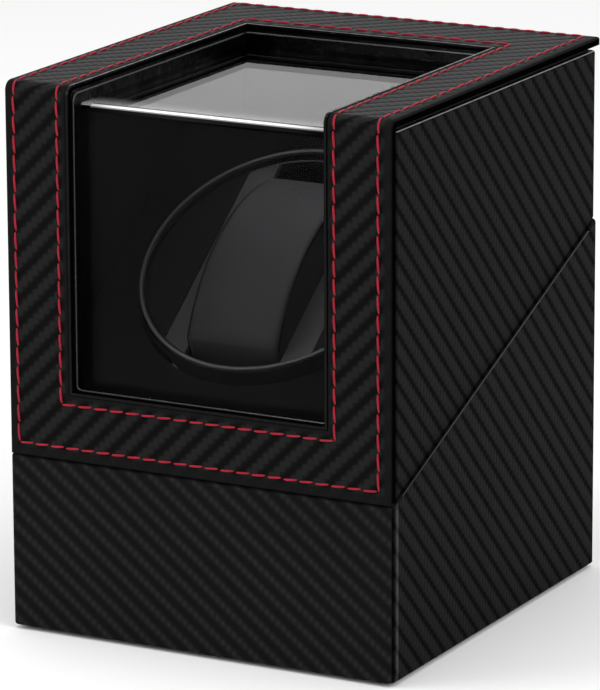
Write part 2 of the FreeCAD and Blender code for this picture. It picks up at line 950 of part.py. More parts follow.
def drum():
    """Rim, face crescents, cup wall, back and pillow tray, set about the tilted axis."""
    lip_outer = s.lip_radius + s.lip_width / 2
    lip_inner = s.lip_radius - s.lip_width / 2
    flange_top = s.rim_flange_thick - s.rim_height
    rim = turned(
        "Rim",
        [
            (s.rim_flange_radius, -s.rim_height),
            (lip_outer, -s.rim_height),
            (lip_outer, ZERO, s.lip_round),
            (lip_inner, ZERO, s.lip_round),
            (lip_inner, flange_top),
            (s.rim_flange_radius, flange_top),
        ],
    )
    node(tilt(rim, ZERO, ZERO, ZERO), "drum_rim")

    face_radius = lip_inner - s.face_fit
    disc = tilted_rod("FaceDisc", ZERO, ZERO, (flange_top, flange_top + s.face_thick), face_radius)
    chord = tilted_box(
        "FaceChord",
        (-s.face_chord, s.face_chord),
        (-face_radius - SPARE, face_radius + SPARE),
        (flange_top - SPARE, ZERO + SPARE),
    )
    node(cut("Face", disc, chord), "drum_face")

    cup_outer = lip_outer - s.face_fit
    cup_under = -s.cup_depth - s.cup_floor_thick
    cup = turned(
        "Cup",
        [
            (s.cup_floor_radius, -s.cup_depth),
            (cup_outer, -s.rim_height),
            (cup_outer - s.cup_wall, -s.rim_height),
            (s.cup_floor_radius - s.cup_wall, -s.cup_depth),
        ],
    )
    node(tilt(cup, ZERO, ZERO, ZERO), "drum_cup")
    pillow_tray(flange_top, face_radius)

    circle = s.drum_screw_circle
    side = root(Size.of(3)) / 2
    places = [(ZERO, circle), (circle * side, -circle / 2), (-circle * side, -circle / 2)]
    drum_screws = screws("DrumScrews", slanted, places, -s.cup_depth, s.screw_length, 1)
    back = tilted_rod("DrumBack", ZERO, ZERO, (cup_under, -s.cup_depth), s.cup_floor_radius)
    node(cut("DrumBackBored", back, drum_screws), "drum_back")
    node(drum_screws, "drum_screws")
    drum_pulley(cup_under, drum_screws)


def pillow_tray(flange_top, face_radius):
    """Two flanges flush with the face, joined by a trough that stands clear of the cup's floor."""
    inner = s.pillow_width / 2 + s.pillow_fit
    wall_outer = inner + s.tray_wall
    outer = s.face_chord - s.face_gap
    floor_bottom = -s.pillow_depth - s.pillow_rest - s.tray_floor_thick
    floor_lift = (floor_bottom, -s.pillow_depth - s.pillow_rest)
    top = flange_top + s.tray_flange_thick
    disc = tilted_rod("TrayDisc", ZERO, ZERO, (flange_top, top), face_radius)
    long = (-face_radius - SPARE, face_radius + SPARE)
    tall = (flange_top - SPARE, top + SPARE)
    wide = tilted_box("TrayBand", (-outer, outer), long, tall)
    slot = tilted_box("TraySlot", (-inner, inner), long, tall)
    flanges = cut("TrayFlanges", common("TrayPlate", disc, wide), slot)
    run = (-s.tray_length / 2, s.tray_length / 2)
    floor_run = (-s.tray_floor_length / 2, s.tray_floor_length / 2)
    deep = (floor_bottom, top)
    pieces = [
        flanges,
        tilted_box("TrayLeft", (-wall_outer, -inner), run, deep),
        tilted_box("TrayRight", (inner, wall_outer), run, deep),
        tilted_box("TrayFloor", (-wall_outer, wall_outer), floor_run, floor_lift),
    ]
    node(fuse("Tray", *pieces), "pillow_tray")


def drum_pulley(cup_under, drum_screws):
    """Pulley under the cup, with the spindle through it and the clip at the spindle's end."""
    bush_top = -s.chassis_drop + s.bush_flange_thick
    hub_end = bush_top + s.washer_thick + s.thrust_gap
    edge = s.drum_pulley_radius + s.groove_depth
    low, high = -s.belt_drop - s.groove_width / 2, -s.belt_drop + s.groove_width / 2
    pulley = turned(
        "DrumPulley",
        [
            (s.spindle_radius, hub_end),
            (edge, hub_end),
            (edge, low),
            (s.drum_pulley_radius, low),
            (s.drum_pulley_radius, high),
            (edge, high),
            (edge, cup_under),
            (s.spindle_radius, cup_under),
        ],
    )
    tilt(pulley, ZERO, ZERO, ZERO)
    node(cut("DrumPulleyBored", pulley, drum_screws), "drum_pulley")

    groove_top = bush_top - s.bush_flange_thick - s.bush_length - s.clip_gap
    groove_low = groove_top - s.clip_thick
    waist = s.spindle_radius - s.clip_groove
    spindle = turned(
        "Spindle",
        [
            (ZERO, groove_low - s.spindle_tail),
            (s.spindle_radius, groove_low - s.spindle_tail),
            (s.spindle_radius, groove_low),
            (waist, groove_low),
            (waist, groove_top),
            (s.spindle_radius, groove_top),
            (s.spindle_radius, cup_under),
            (ZERO, cup_under),
        ],
    )
    node(tilt(spindle, ZERO, ZERO, ZERO), "spindle")
    ring = tilted_rod("ClipDisc", ZERO, ZERO, (groove_low, groove_top), s.clip_radius)
    bore = tilted_rod("ClipBore", ZERO, ZERO, (groove_low - SPARE, groove_top + SPARE), waist)
    mouth = tilted_box(
        "ClipMouth",
        (-s.clip_mouth / 2, s.clip_mouth / 2),
        (ZERO, s.clip_radius + SPARE),
        (groove_low - SPARE, groove_top + SPARE),
    )
    node(cut("Clip", ring, fuse("ClipSpace", bore, mouth)), "retaining_clip")


def pillow_section(x, draw_in):
    """A closed wire of four arcs across the pillow, drawn in from its full outline."""
    end = s.pillow_length.value / 2 - draw_in
    top, shoulder = s.pillow_crown.value - draw_in, s.pillow_shoulder.value - draw_in
    haunch, bottom = draw_in - s.pillow_haunch.value, draw_in - s.pillow_depth.value
    tip = end + s.pillow_bulge.value
    middle = (shoulder + haunch) / 2
    centre = -s.pillow_shift.value

    def point(slope, lift):
        return FreeCAD.Vector(x, centre + slope, lift)

    arcs = [
        Part.Arc(point(-end, shoulder), point(0, top), point(end, shoulder)),
        Part.Arc(point(end, shoulder), point(tip, middle), point(end, haunch)),
        Part.Arc(point(end, haunch), point(0, bottom), point(-end, haunch)),
        Part.Arc(point(-end, haunch), point(-tip, middle), point(-end, shoulder)),
    ]
    return Part.Wire([arc.toShape() for arc in arcs])


def watch_pillow():
    """A cushion with a crown, its sides drawn in towards the end seams."""
    side = s.pillow_width.value / 2
    seam = side - s.pillow_edge.value
    stations = [
        (-side, s.pillow_draw.value),
        (-seam, s.pillow_edge_draw.value),
        (0, 0),
        (seam, s.pillow_edge_draw.value),
        (side, s.pillow_draw.value),
    ]
    pillow = DOC.addObject("Part::Feature", "Pillow")
    pillow.Shape = Part.makeLoft([pillow_section(x, draw_in) for x, draw_in in stations], True)
    node(tilt(pillow, ZERO, ZERO, ZERO), "watch_pillow")


# Drive


def chassis():
    """Rails on the cheeks, the plate across them, and the bush that carries the spindle."""
    top = -s.chassis_drop
    under = top - s.chassis_thick
    run = (-s.chassis_length / 2, s.chassis_length / 2)
    rail_lift = (under - s.rail_height, under)
    rails = group(
        "RailPair",
        tilted_box("RailLeft", (-cheek_inner, -rail_inner), run, rail_lift),
        tilted_box("RailRight", (rail_inner, cheek_inner), run, rail_lift),
    )
    reach = cheek_inner - s.chassis_fit
    plate = tilted_box("ChassisPlate", (-reach, reach), run, (under, top))
    hole_lift = (under - SPARE, top + SPARE)
    bush_hole = tilted_rod("BushHole", ZERO, ZERO, hole_lift, s.bush_radius)
    shaft_hole = tilted_rod("ShaftHole", motor_x, ZERO, hole_lift, s.motor_shaft_hole)

    across = cheek_inner - s.rail_width / 2
    slope = s.chassis_screw_spread / 2
    corners = [(across * side, slope * end) for side in (-1, 1) for end in (-1, 1)]
    plate_screws = screws("ChassisScrews", slanted, corners, top, s.screw_length, 1)
    spread = s.motor_screw_spread / 2
    pair = [(motor_x, spread), (motor_x, -spread)]
    motor_screws = screws("MotorScrews", slanted, pair, top, s.screw_length, 1)
    bored = cut("ChassisBored", plate, bush_hole, shaft_hole, plate_screws, motor_screws)
    node(bored, "chassis_plate")
    node(cut("RailsBored", rails, plate_screws), "chassis_rails")
    node(plate_screws, "chassis_screws")
    node(motor_screws, "motor_screws")

    bore = s.spindle_radius + s.spindle_fit
    bush_top = top + s.bush_flange_thick
    bush = turned(
        "Bush",
        [
            (bore, top - s.bush_length),
            (s.bush_radius, top - s.bush_length),
            (s.bush_radius, top),
            (s.bush_flange_radius, top),
            (s.bush_flange_radius, bush_top),
            (bore, bush_top),
        ],
    )
    node(tilt(bush, ZERO, ZERO, ZERO), "spindle_bush")
    washer = turned(
        "Washer",
        [
            (bore, bush_top),
            (s.washer_radius, bush_top),
            (s.washer_radius, bush_top + s.washer_thick),
            (bore, bush_top + s.washer_thick),
        ],
    )
    node(tilt(washer, ZERO, ZERO, ZERO), "thrust_washer")
    return under, motor_screws


def gear_motor(top, motor_screws):
    """Gearbox and motor can under the plate, with the shaft and pulley that drive the belt."""
    case_low = top - s.gearbox_height
    x = (motor_x - s.gearbox_width / 2, motor_x + s.gearbox_width / 2)
    case = tilted_box("Gearbox", x, (-s.gearbox_length / 2, s.gearbox_length / 2), (case_low, top))
    shaft_low = top - s.motor_shaft_depth
    running = s.motor_shaft_radius + s.spindle_fit
    bore = tilted_rod("ShaftBore", motor_x, ZERO, (shaft_low, top + SPARE), running)
    node(cut("GearboxBored", case, bore, motor_screws), "gearbox_case")

    can_low = case_low - s.motor_length
    can = turned(
        "MotorCan",
        [
            (ZERO, can_low),
            (s.motor_radius, can_low, s.motor_round),
            (s.motor_radius, case_low),
            (ZERO, case_low),
        ],
    )
    node(tilt(can, motor_x, ZERO, ZERO), "motor_can")

    pulley_low = -s.belt_drop - s.motor_pulley_height / 2
    pulley_high = -s.belt_drop + s.motor_pulley_height / 2
    low, high = -s.belt_drop - s.groove_width / 2, -s.belt_drop + s.groove_width / 2
    edge = s.motor_pulley_radius + s.groove_depth
    pulley = turned(
        "MotorPulley",
        [
            (s.motor_shaft_radius, pulley_low),
            (edge, pulley_low),
            (edge, low),
            (s.motor_pulley_radius, low),
            (s.motor_pulley_radius, high),
            (edge, high),
            (edge, pulley_high),
            (s.motor_shaft_radius, pulley_high),
        ],
    )
    node(tilt(pulley, motor_x, ZERO, ZERO), "motor_pulley")
    rest = shaft_low + s.thrust_gap
    shaft = tilted_rod("MotorShaft", motor_x, ZERO, (rest, pulley_high), s.motor_shaft_radius)
    node(shaft, "motor_shaft")


def belt_core(name, grow):
    """Everything inside a loop that runs round both pulleys, grow above their grooves."""
    large, small = s.drum_pulley_radius + grow, s.motor_pulley_radius + grow
    lean = (large - small) / motor_x
    rise = root(1 - lean * lean)
    lift = (-s.belt_drop - s.belt_width / 2, -s.belt_drop + s.belt_width / 2)
    web = [
        (large * lean, -large * rise),
        (motor_x + small * lean, -small * rise),
        (motor_x + small * lean, small * rise),
        (large * lean, large * rise),
    ]
    return fuse(
        name,
        tilted_rod(name + "Large", ZERO, ZERO, lift, large),
        tilted_rod(name + "Small", motor_x, ZERO, lift, small),
        tilt(slab(name + "Web", "XY_Plane", [web], lift), ZERO, ZERO, ZERO),
    )


def drive_belt():
    outer = belt_core("BeltOuter", s.belt_gap + s.belt_thick)
    node(cut("Belt", outer, belt_core("BeltInner", s.belt_gap)), "drive_belt")


# Controls


def control_panel():
    """Plate behind the back board's opening, with the switch and jack bodies and the board they sit on."""
    centre_x, centre_z = s.control_across, s.control_height
    outer_x = s.control_width / 2 + s.plate_lap
    outer_z = s.control_rise / 2 + s.plate_lap
    plate_outer = plate_inner + s.plate_thick
    plate = box(
        "ControlPlate",
        (centre_x - outer_x, centre_x + outer_x),
        (plate_inner, plate_outer),
        (centre_z - outer_z, centre_z + outer_z),
    )
    knob_at = (centre_x + s.knob_across, centre_z)
    button_at = (centre_x + s.button_across, centre_z)
    jack_at = (centre_x + s.jack_across, centre_z)
    through = (plate_inner - SPARE, plate_outer + SPARE)
    shaft_run = s.knob_shaft_radius + s.control_fit
    button_run = s.button_radius + s.control_fit
    holes = [
        rod("KnobHole", "y", knob_at, through, shaft_run),
        rod("ButtonHole", "y", button_at, through, button_run),
        rod("JackHole", "y", jack_at, through, s.jack_radius),
    ]
    edge = s.control_width / 2 + s.plate_lap / 2
    places = [(centre_x + edge * side, centre_z) for side in (-1, 1)]
    plate_screws = screws("PlateScrews", rearward, places, plate_inner, s.short_screw_length, -1)
    node(cut("ControlPlateBored", plate, *holes, plate_screws), "control_plate")
    node(plate_screws, "control_plate_screws")

    board_x = s.control_width / 2 + s.board_lap
    board_z = s.control_rise / 2 + s.board_lap
    board_back = board_face - s.board_thick
    board = box(
        "ControlBoard",
        (centre_x - board_x, centre_x + board_x),
        (board_back, board_face),
        (centre_z - board_z, centre_z + board_z),
    )
    node(board, "control_board")
    posts = [
        rod(
            f"Post{side}{end}",
            "y",
            (centre_x + (board_x - s.post_inset) * side, centre_z + (board_z - s.post_inset) * end),
            (board_face, plate_inner),
            s.post_radius,
        )
        for side in (-1, 1)
        for end in (-1, 1)
    ]
    node(group("Posts", *posts), "board_posts")
    board_parts(centre_x, centre_z, board_back)
    mode_switch(knob_at, shaft_run, plate_outer)
    power_switch(button_at, button_run, plate_outer)
    power_socket(jack_at, plate_outer)
    return plate_screws


def board_parts(centre_x, centre_z, board_back):
    side = s.chip_side / 2
    chip = box(
        "Chip",
        (centre_x - side, centre_x + side),
        (board_back - s.chip_thick, board_back),
        (centre_z - side, centre_z + side),
    )
    cans = [
        rod(
            f"Capacitor{step}",
            "y",
            (centre_x + (s.chip_side + s.capacitor_radius) * step, centre_z),
            (board_back - s.capacitor_length, board_back),
            s.capacitor_radius,
        )
        for step in (-1, 1)
    ]
    node(group("BoardParts", chip, *cans), "board_parts")


def square_body(name, at, side):
    reach = side / 2
    return box(
        name,
        (at[0] - reach, at[0] + reach),
        (board_face, plate_inner),
        (at[1] - reach, at[1] + reach),
    )


def mode_switch(at, running, plate_outer):
    bore = rod("SwitchBore", "y", at, (plate_inner - s.switch_bore, plate_inner + SPARE), running)
    node(cut("ModeSwitch", square_body("ModeBlock", at, s.switch_side), bore), "mode_switch_body")
    low = plate_outer + s.knob_gap
    top = low + s.knob_height
    disc = rod("KnobDisc", "y", at, (low, top), s.knob_radius)
    shaft = rod("KnobShaft", "y", at, (plate_inner - s.knob_shaft_depth, low), s.knob_shaft_radius)
    pointer = box(
        "KnobPointer",
        (at[0] - s.pointer_width / 2, at[0] + s.pointer_width / 2),
        (top, top + s.pointer_height),
        (at[1], at[1] + s.knob_radius - s.pointer_width / 2),
    )
    node(fuse("Knob", disc, shaft, pointer), "mode_knob")


def power_switch(at, running, plate_outer):
    bore = rod("ButtonBore", "y", at, (plate_inner - s.switch_bore, plate_inner + SPARE), running)
    node(cut("PowerSwitch", square_body("PowerBlock", at, s.button_side), bore), "power_switch_body")
    span = (plate_inner - s.button_depth, plate_outer + s.button_proud)
    node(rod("PowerButton", "y", at, span, s.button_radius), "power_button")


def power_socket(at, plate_outer):
    """Barrel socket behind the plate, with a collar through the plate and a centre pin."""
    block = box(
        "JackBlock",
        (at[0] - s.jack_width / 2, at[0] + s.jack_width / 2),
        (board_face, plate_inner),
        (at[1] - s.jack_rise / 2, at[1] + s.jack_rise / 2),
    )
    ring = rod("JackRing", "y", at, (plate_inner, plate_outer), s.jack_radius)
    mouth = plate_outer - s.jack_depth
    bore = rod("JackBore", "y", at, (mouth, plate_outer + SPARE), s.jack_bore)
    node(cut("JackBody", block, bore), "power_socket")
    node(cut("JackCollar", ring, bore), "socket_collar")
    node(rod("JackPin", "y", at, (mouth, plate_outer - s.jack_pin), s.jack_pin), "socket_pin")


def build():
    hinge_low, hinge_high = hinges()
    base = base_boards()
    lid = lid_boards()
    plate_screws = control_panel()
    window = box(
        "ControlOpening",
        (s.control_across - s.control_width / 2, s.control_across + s.control_width / 2),
        (y_back - s.wall - SPARE, y_back + SPARE),
        (s.control_height - s.control_rise / 2, s.control_height + s.control_rise / 2),
    )
    base["base_back_board"] = cut(
        "BaseBackBored", base["base_back_board"], window, plate_screws, hinge_low
    )
    lid["lid_back_board"] = cut("LidBackBored", lid["lid_back_board"], hinge_high)
    for label, board in {**base, **lid}.items():
        node(board, label)

    across = (cheek_inner + cheek_outer) / 2
    reach = s.panel_screw_spread / 2
    places = [(across * side, reach * end) for side in (-1, 1) for end in (-1, 1)]
    bottom_length = s.panel_thick + s.short_screw_length
    bottom = screws("BottomScrews", upright, places, s.foot_height, bottom_length, -1)
    node(bottom, "bottom_screws")
    base_floor(bottom)
    feet()
    inner_frame(bottom)

    cover_frame()
    backer_frame()
    window_trim()
    window_pane()
    lid_linings()

    drum()
    watch_pillow()
    under, motor_screws = chassis()
    gear_motor(under, motor_screws)
    drive_belt()


def write_parts():
    DOC.recompute()
    for item in DOC.Objects:
        if {"Invalid", "Error"} & set(item.State):
            raise RuntimeError(f"{item.Name} did not build: {item.State}")
    for item in NODES:
        if item.Shape.isNull() or not item.Shape.isValid() or not item.Shape.Solids:
            raise RuntimeError(f"{item.Label} has no valid solid")
    os.makedirs("parts", exist_ok=True)
    for item in NODES:
        item.Shape.exportStep(f"parts/{item.Label}.step")
    print(f"{len(NODES)} parts written")


build()
write_parts()
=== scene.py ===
"""Looks of a watch winder box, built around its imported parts.

Metres, +Z up, the front towards -Y. Surface patterns are worked out in millimetres.
"""

import json
import math

import bmesh
import bpy
from mathutils import Matrix, Vector


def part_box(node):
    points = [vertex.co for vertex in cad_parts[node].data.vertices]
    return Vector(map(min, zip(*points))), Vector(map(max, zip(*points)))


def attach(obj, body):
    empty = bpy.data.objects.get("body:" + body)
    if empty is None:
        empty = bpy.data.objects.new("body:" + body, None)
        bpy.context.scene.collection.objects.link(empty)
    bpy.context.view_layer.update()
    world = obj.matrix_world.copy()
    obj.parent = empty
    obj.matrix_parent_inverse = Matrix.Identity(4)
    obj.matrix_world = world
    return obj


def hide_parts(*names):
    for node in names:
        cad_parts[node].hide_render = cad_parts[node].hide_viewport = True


MM = 0.001
TRIM_WALL = 0.8 * MM

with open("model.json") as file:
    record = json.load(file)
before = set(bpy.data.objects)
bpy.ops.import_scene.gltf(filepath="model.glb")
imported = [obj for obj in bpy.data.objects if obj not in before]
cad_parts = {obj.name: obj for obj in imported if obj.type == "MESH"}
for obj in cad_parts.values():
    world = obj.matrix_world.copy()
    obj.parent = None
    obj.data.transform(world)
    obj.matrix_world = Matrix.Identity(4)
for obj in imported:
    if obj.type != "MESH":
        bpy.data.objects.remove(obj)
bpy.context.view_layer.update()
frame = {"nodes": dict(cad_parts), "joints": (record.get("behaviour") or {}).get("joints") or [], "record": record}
NODES = frame["nodes"]
JOINTS = {joint["name"]: joint for joint in frame["joints"]}

# Places read from the frame
COVER_LOW, COVER_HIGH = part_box("lid_cover_frame")
TRIM_LOW, TRIM_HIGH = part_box("window_trim")
PANE_LOW, PANE_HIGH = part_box("window_pane")
BASE_LOW, BASE_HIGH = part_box("base_right_board")
FRONT_BOARD_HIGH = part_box("base_front_board")[1]
RIM_RISE = (BASE_HIGH.z - FRONT_BOARD_HIGH.z) / (BASE_HIGH.y - FRONT_BOARD_HIGH.y)
WINDOW_HALF = TRIM_HIGH.x - TRIM_WALL
WINDOW_BOTTOM = TRIM_LOW.z + TRIM_WALL
WINDOW_BACK = TRIM_HIGH.y - TRIM_WALL
DRUM_CENTRE = Vector(JOINTS["drum_spin"]["pos_m"])
DRUM_AXIS = Vector(JOINTS["drum_spin"]["axis"]).normalized()
DRUM_SLOPE = Vector((1, 0, 0)).cross(DRUM_AXIS) * -1


# Node materials


class Field:
    """A number that varies over a surface: a shader socket with arithmetic."""

    def __init__(self, tree, socket):
        self.tree = tree
        self.socket = socket

    def apply(self, operation, *others, first=None):
        """A Math node of this field and others, or of first and this field."""
        node = self.tree.nodes.new("ShaderNodeMath")
        node.operation = operation
        values = (self, *others) if first is None else (first, self)
        for place, value in zip(node.inputs, values):
            if isinstance(value, Field):
                self.tree.links.new(value.socket, place)
            else:
                place.default_value = value
        return Field(self.tree, node.outputs[0])

    def __add__(self, other):
        return self.apply("ADD", other)

    def __sub__(self, other):
        return self.apply("SUBTRACT", other)

    def __rsub__(self, other):
        return self.apply("SUBTRACT", first=other)

    def __mul__(self, other):
        return self.apply("MULTIPLY", other)

    def __truediv__(self, other):
        return self.apply("DIVIDE", other)

    __radd__ = __add__
    __rmul__ = __mul__

    def floor(self):
        return self.apply("FLOOR")

    def wrap(self, size):
        return self.apply("FLOORED_MODULO", size)

    def below(self, limit):
        return self.apply("LESS_THAN", limit)

    def above(self, limit):
        return self.apply("GREATER_THAN", limit)

    def size(self):
        return self.apply("ABSOLUTE")

    def power(self, amount):
        return self.apply("POWER", amount)

    def wave(self):
        """A sine that rises from 0 and comes back to it at 1."""
        return (self * math.pi).apply("SINE")

    def between(self, low, high):
        """This field's share of the way from low to high, clamped."""
        node = self.tree.nodes.new("ShaderNodeMapRange")
        node.inputs["From Min"].default_value = low
        node.inputs["From Max"].default_value = high
        self.tree.links.new(self.socket, node.inputs["Value"])
        return Field(self.tree, node.outputs["Result"])


def choose(share, without, fully):
    """without where share is 0, fully where it is 1."""
    return without + share * (fully - without)


NOISE_ROUGHNESS = 0.55


class Finish:
    """A node material with a Principled shader, whose constant sockets are given by name."""

    def __init__(self, name, **constants):
        self.material = bpy.data.materials.new(name)
        self.material.use_nodes = True
        self.tree = self.material.node_tree
        self.shader = self.tree.nodes["Principled BSDF"]
        for socket, value in constants.items():
            self.shader.inputs[socket.replace("_", " ")].default_value = value

    def place(self):
        """The surface point in millimetres, in the frame of the part at rest."""
        node = self.tree.nodes.new("ShaderNodeTexCoord")
        split = self.tree.nodes.new("ShaderNodeSeparateXYZ")
        self.tree.links.new(node.outputs["Object"], split.inputs[0])
        return [Field(self.tree, socket) / MM for socket in split.outputs]

    def noise(self, scale, detail=3.0, stretch=(1, 1, 1)):
        """Noise from 0 to 1, scale grains to the millimetre, squeezed along axes by stretch."""
        node = self.tree.nodes.new("ShaderNodeTexNoise")
        node.inputs["Scale"].default_value = scale / MM
        node.inputs["Detail"].default_value = detail
        node.inputs["Roughness"].default_value = NOISE_ROUGHNESS
        source = self.tree.nodes.new("ShaderNodeTexCoord")
        scaler = self.tree.nodes.new("ShaderNodeMapping")
        scaler.inputs["Scale"].default_value = stretch
        self.tree.links.new(source.outputs["Object"], scaler.inputs["Vector"])
        self.tree.links.new(scaler.outputs["Vector"], node.inputs["Vector"])
        return Field(self.tree, node.outputs["Fac"])

    def colour(self, share, *stops):
        """Colours by share: stops are (place, colour)."""
        node = self.tree.nodes.new("ShaderNodeValToRGB")
        ramp = node.color_ramp
        while len(ramp.elements) < len(stops):
            ramp.elements.new(0.5)
        for element, (place, tone) in zip(ramp.elements, stops):
            element.position = place
            element.color = (*tone, 1)
        self.tree.links.new(share.socket, node.inputs["Fac"])
        self.tree.links.new(node.outputs["Color"], self.shader.inputs["Base Color"])
        return self

    def rough(self, field):
        self.tree.links.new(field.socket, self.shader.inputs["Roughness"])
        return self

    def bump(self, height, depth):
        """Relief of height 0 to 1, depth millimetres deep."""
        node = self.tree.nodes.new("ShaderNodeBump")
        node.inputs["Strength"].default_value = 1.0
        node.inputs["Distance"].default_value = depth * MM
        self.tree.links.new(height.socket, node.inputs["Height"])
        self.tree.links.new(node.outputs["Normal"], self.shader.inputs["Normal"])
        return self


def grey(level, tint=0.0):
    """A neutral colour, a little towards blue with tint."""
    return (level, level, level * (1 + tint))


# Twill-embossed leatherette: cells along and up the sheet, two over and two under
RIB_STEPS = 4
RIB_PITCH = 7.2 / RIB_STEPS
FRONT_RIB_PITCH = 5.7 / RIB_STEPS
CELL_THREADS = 4
RELIEF = 0.1
LEATHER_DARK = 0.0002
COVER_LIGHT, COVER_SHINE = 0.0112, 0.036
WALL_LIGHT, WALL_SHINE = 0.0125, 0.015
# Painted highlight: its colour, in times the light tone
HIGHLIGHT_PALE = 4

# Smooth borders of the cover, and the painted shade that darkens its outer edges, in millimetres
COVER_BORDER = 59.6
COVER_FOOT = 57.4
WINDOW_BORDER = 2.8
BLEND = 1.0
COVER_SHADE = 62.2
SHADE_BLEND = 0.3

# Front corners of the base, in millimetres: painted shade where the sheet turns round, and a painted highlight
# beside it
CORNER_SHADE_START, CORNER_SHADE_END = 1.6, 1.4
CORNER_HIGHLIGHT_PLACE = 3.0
CORNER_HIGHLIGHT_CORE, CORNER_HIGHLIGHT_EDGE = 0.4, 1.2
FACE_DEPTH = 0.3


def twill(across, up, rising):
    """Relief, upright floats, level floats, thread lines and a smooth wave across the ribs, for their painted
    sheen.
    """
    column, row = across.floor(), up.floor()
    in_column, in_row = across - column, up - row
    step = (column - row if rising else column + row).wrap(RIB_STEPS)
    upright = step.below(1.5)
    upright_run = ((1 - step if rising else step) + in_row) / 2
    level_run = (step - 2 + in_column) / 2
    upright_float = upright * upright_run.wave() * (0.5 + 0.5 * in_column.wave())
    level_float = (1 - upright) * level_run.wave() * (0.5 + 0.5 * in_row.wave())
    level_threads = (in_row * CELL_THREADS).wrap(1).wave()
    upright_threads = (in_column * CELL_THREADS).wrap(1).wave()
    threads = choose(upright, level_threads, upright_threads)
    diagonal = across - up + 1.5 if rising else across + up + 0.5
    sheen_wave = (diagonal / RIB_STEPS).wrap(1).wave()
    return upright_float + level_float, upright_float, level_float, threads, sheen_wave


def leatherette(finish, ribs, height, threads, tone, dark, light):
    """Black coated cloth with embossed ribs, their lighter colour a painted sheen: tone is where the shading
    starts and how far it goes.

    Shading past 1 is a painted highlight, paler than the light tone.
    """
    grain = finish.noise(2.2, detail=4)
    patches = finish.noise(0.03, detail=2)
    shade = 0.86 * ribs + 0.09 * threads + 0.22 * (grain - 0.4) + 0.15 * (patches - 0.4)
    stops = (0.0, grey(dark, 0.05)), (0.5, grey(light, 0.07)), (1.0, grey(HIGHLIGHT_PALE * light, 0.07))
    finish.colour((tone[0] + tone[1] * shade) * 0.5, *stops)
    finish.rough(0.68 - 0.2 * ribs + 0.12 * (grain - 0.5))
    finish.bump(height + 0.15 * threads + 0.12 * grain, RELIEF)
    return finish.material


def cover_leather():
    """The cover frame's sheet runs up the front and on over the top; its pressed borders are smooth."""
    finish = Finish("cover_leatherette", Specular_IOR_Level=COVER_SHINE)
    x, y, z = finish.place()
    height, upright, _, threads, sheen_wave = twill(x / RIB_PITCH, (y + z) / RIB_PITCH, True)
    reach = x.size()
    side, bottom, back = WINDOW_HALF / MM, WINDOW_BOTTOM / MM, WINDOW_BACK / MM
    by_window = (
        (1 - reach.between(side + WINDOW_BORDER - BLEND, side + WINDOW_BORDER))
        * z.between(bottom - WINDOW_BORDER, bottom - WINDOW_BORDER + BLEND)
        * (1 - y.between(back + WINDOW_BORDER - BLEND, back + WINDOW_BORDER))
    )
    by_edge = reach.between(COVER_BORDER, COVER_BORDER + BLEND)
    by_foot = 1 - z.between(COVER_FOOT - BLEND, COVER_FOOT)
    plain = by_edge.apply("MAXIMUM", by_foot).apply("MAXIMUM", by_window)
    on_top = z.above(COVER_HIGH.z / MM - BLEND)
    # Painted sheen: lighter upright floats and soft lighter bands across the ribs
    ribs = 0.5 * upright.between(0.03, 0.24) + 0.5 * sheen_wave.between(0.3, 0.9)
    ribs = choose(on_top, ribs, sheen_wave.between(0.1, 0.6))
    ribs = choose(plain, ribs, 0.3 + 0.15 * upright)
    # Painted shade: the cover's outer side faces are darkened to black
    lit = 1 - reach.between(COVER_SHADE, COVER_SHADE + SHADE_BLEND)
    tone = (0.09 * lit, 0.91 * lit)
    height = height * (1 - 0.7 * plain)
    return leatherette(finish, ribs, height, threads, tone, LEATHER_DARK, COVER_LIGHT)


def wall_leather():
    """Boards wrapped round the box: soft ribs on front and back, broad ribs on the sides; front and back get a
    lighter tone as painted light.
    """
    finish = Finish("wall_leatherette", Specular_IOR_Level=WALL_SHINE)
    x, y, z = finish.place()
    half, front, back = BASE_HIGH.x / MM, BASE_LOW.y / MM, BASE_HIGH.y / MM
    reach = x.size()
    facing = (reach + y).below(half + front).apply("MAXIMUM", (y - reach).above(back - half))
    up = choose(facing, z / RIB_PITCH, z / FRONT_RIB_PITCH)
    height, upright, level, threads, sheen_wave = twill((x + y) / RIB_PITCH, up, False)
    # Painted sheen: lighter floats and soft lighter bands across the ribs
    side_ribs = 0.65 * sheen_wave.between(0.2, 0.7) + 0.35 * (1 - level.between(0.04, 0.4))
    front_ribs = 0.55 * sheen_wave.between(0.4, 1.0) + 0.5 * upright
    ribs = choose(facing, side_ribs, front_ribs)
    # Painted shade along the round of the front corners
    corner_shade = (reach - y).between(half - front - CORNER_SHADE_START, half - front - CORNER_SHADE_END)
    # Painted highlight on the side faces just behind the front corners
    beside = (y - front - CORNER_HIGHLIGHT_PLACE).size().between(CORNER_HIGHLIGHT_CORE, CORNER_HIGHLIGHT_EDGE)
    painted_highlight = reach.above(half - FACE_DEPTH) * (1 - beside)
    # Painted light: front and back faces get a lighter tone than the sides
    tone = (0.38 * facing - 0.4 * corner_shade * (1 - facing) + 1.2 * painted_highlight, 0.53 + 0.22 * facing)
    return leatherette(finish, ribs, height, threads, tone, LEATHER_DARK, WALL_LIGHT)


def lining_cloth():
    """Short black pile, a little uneven."""
    finish = Finish("lining_cloth", Specular_IOR_Level=0.0)
    fuzz = finish.noise(4.0, detail=4)
    shade = finish.noise(0.05)
    finish.colour(0.5 * fuzz + 0.5 * shade, (0.2, grey(0.0026)), (0.8, grey(0.0042, 0.05)))
    finish.rough(0.82 + 0.1 * fuzz)
    return finish.bump(fuzz, 0.05).material


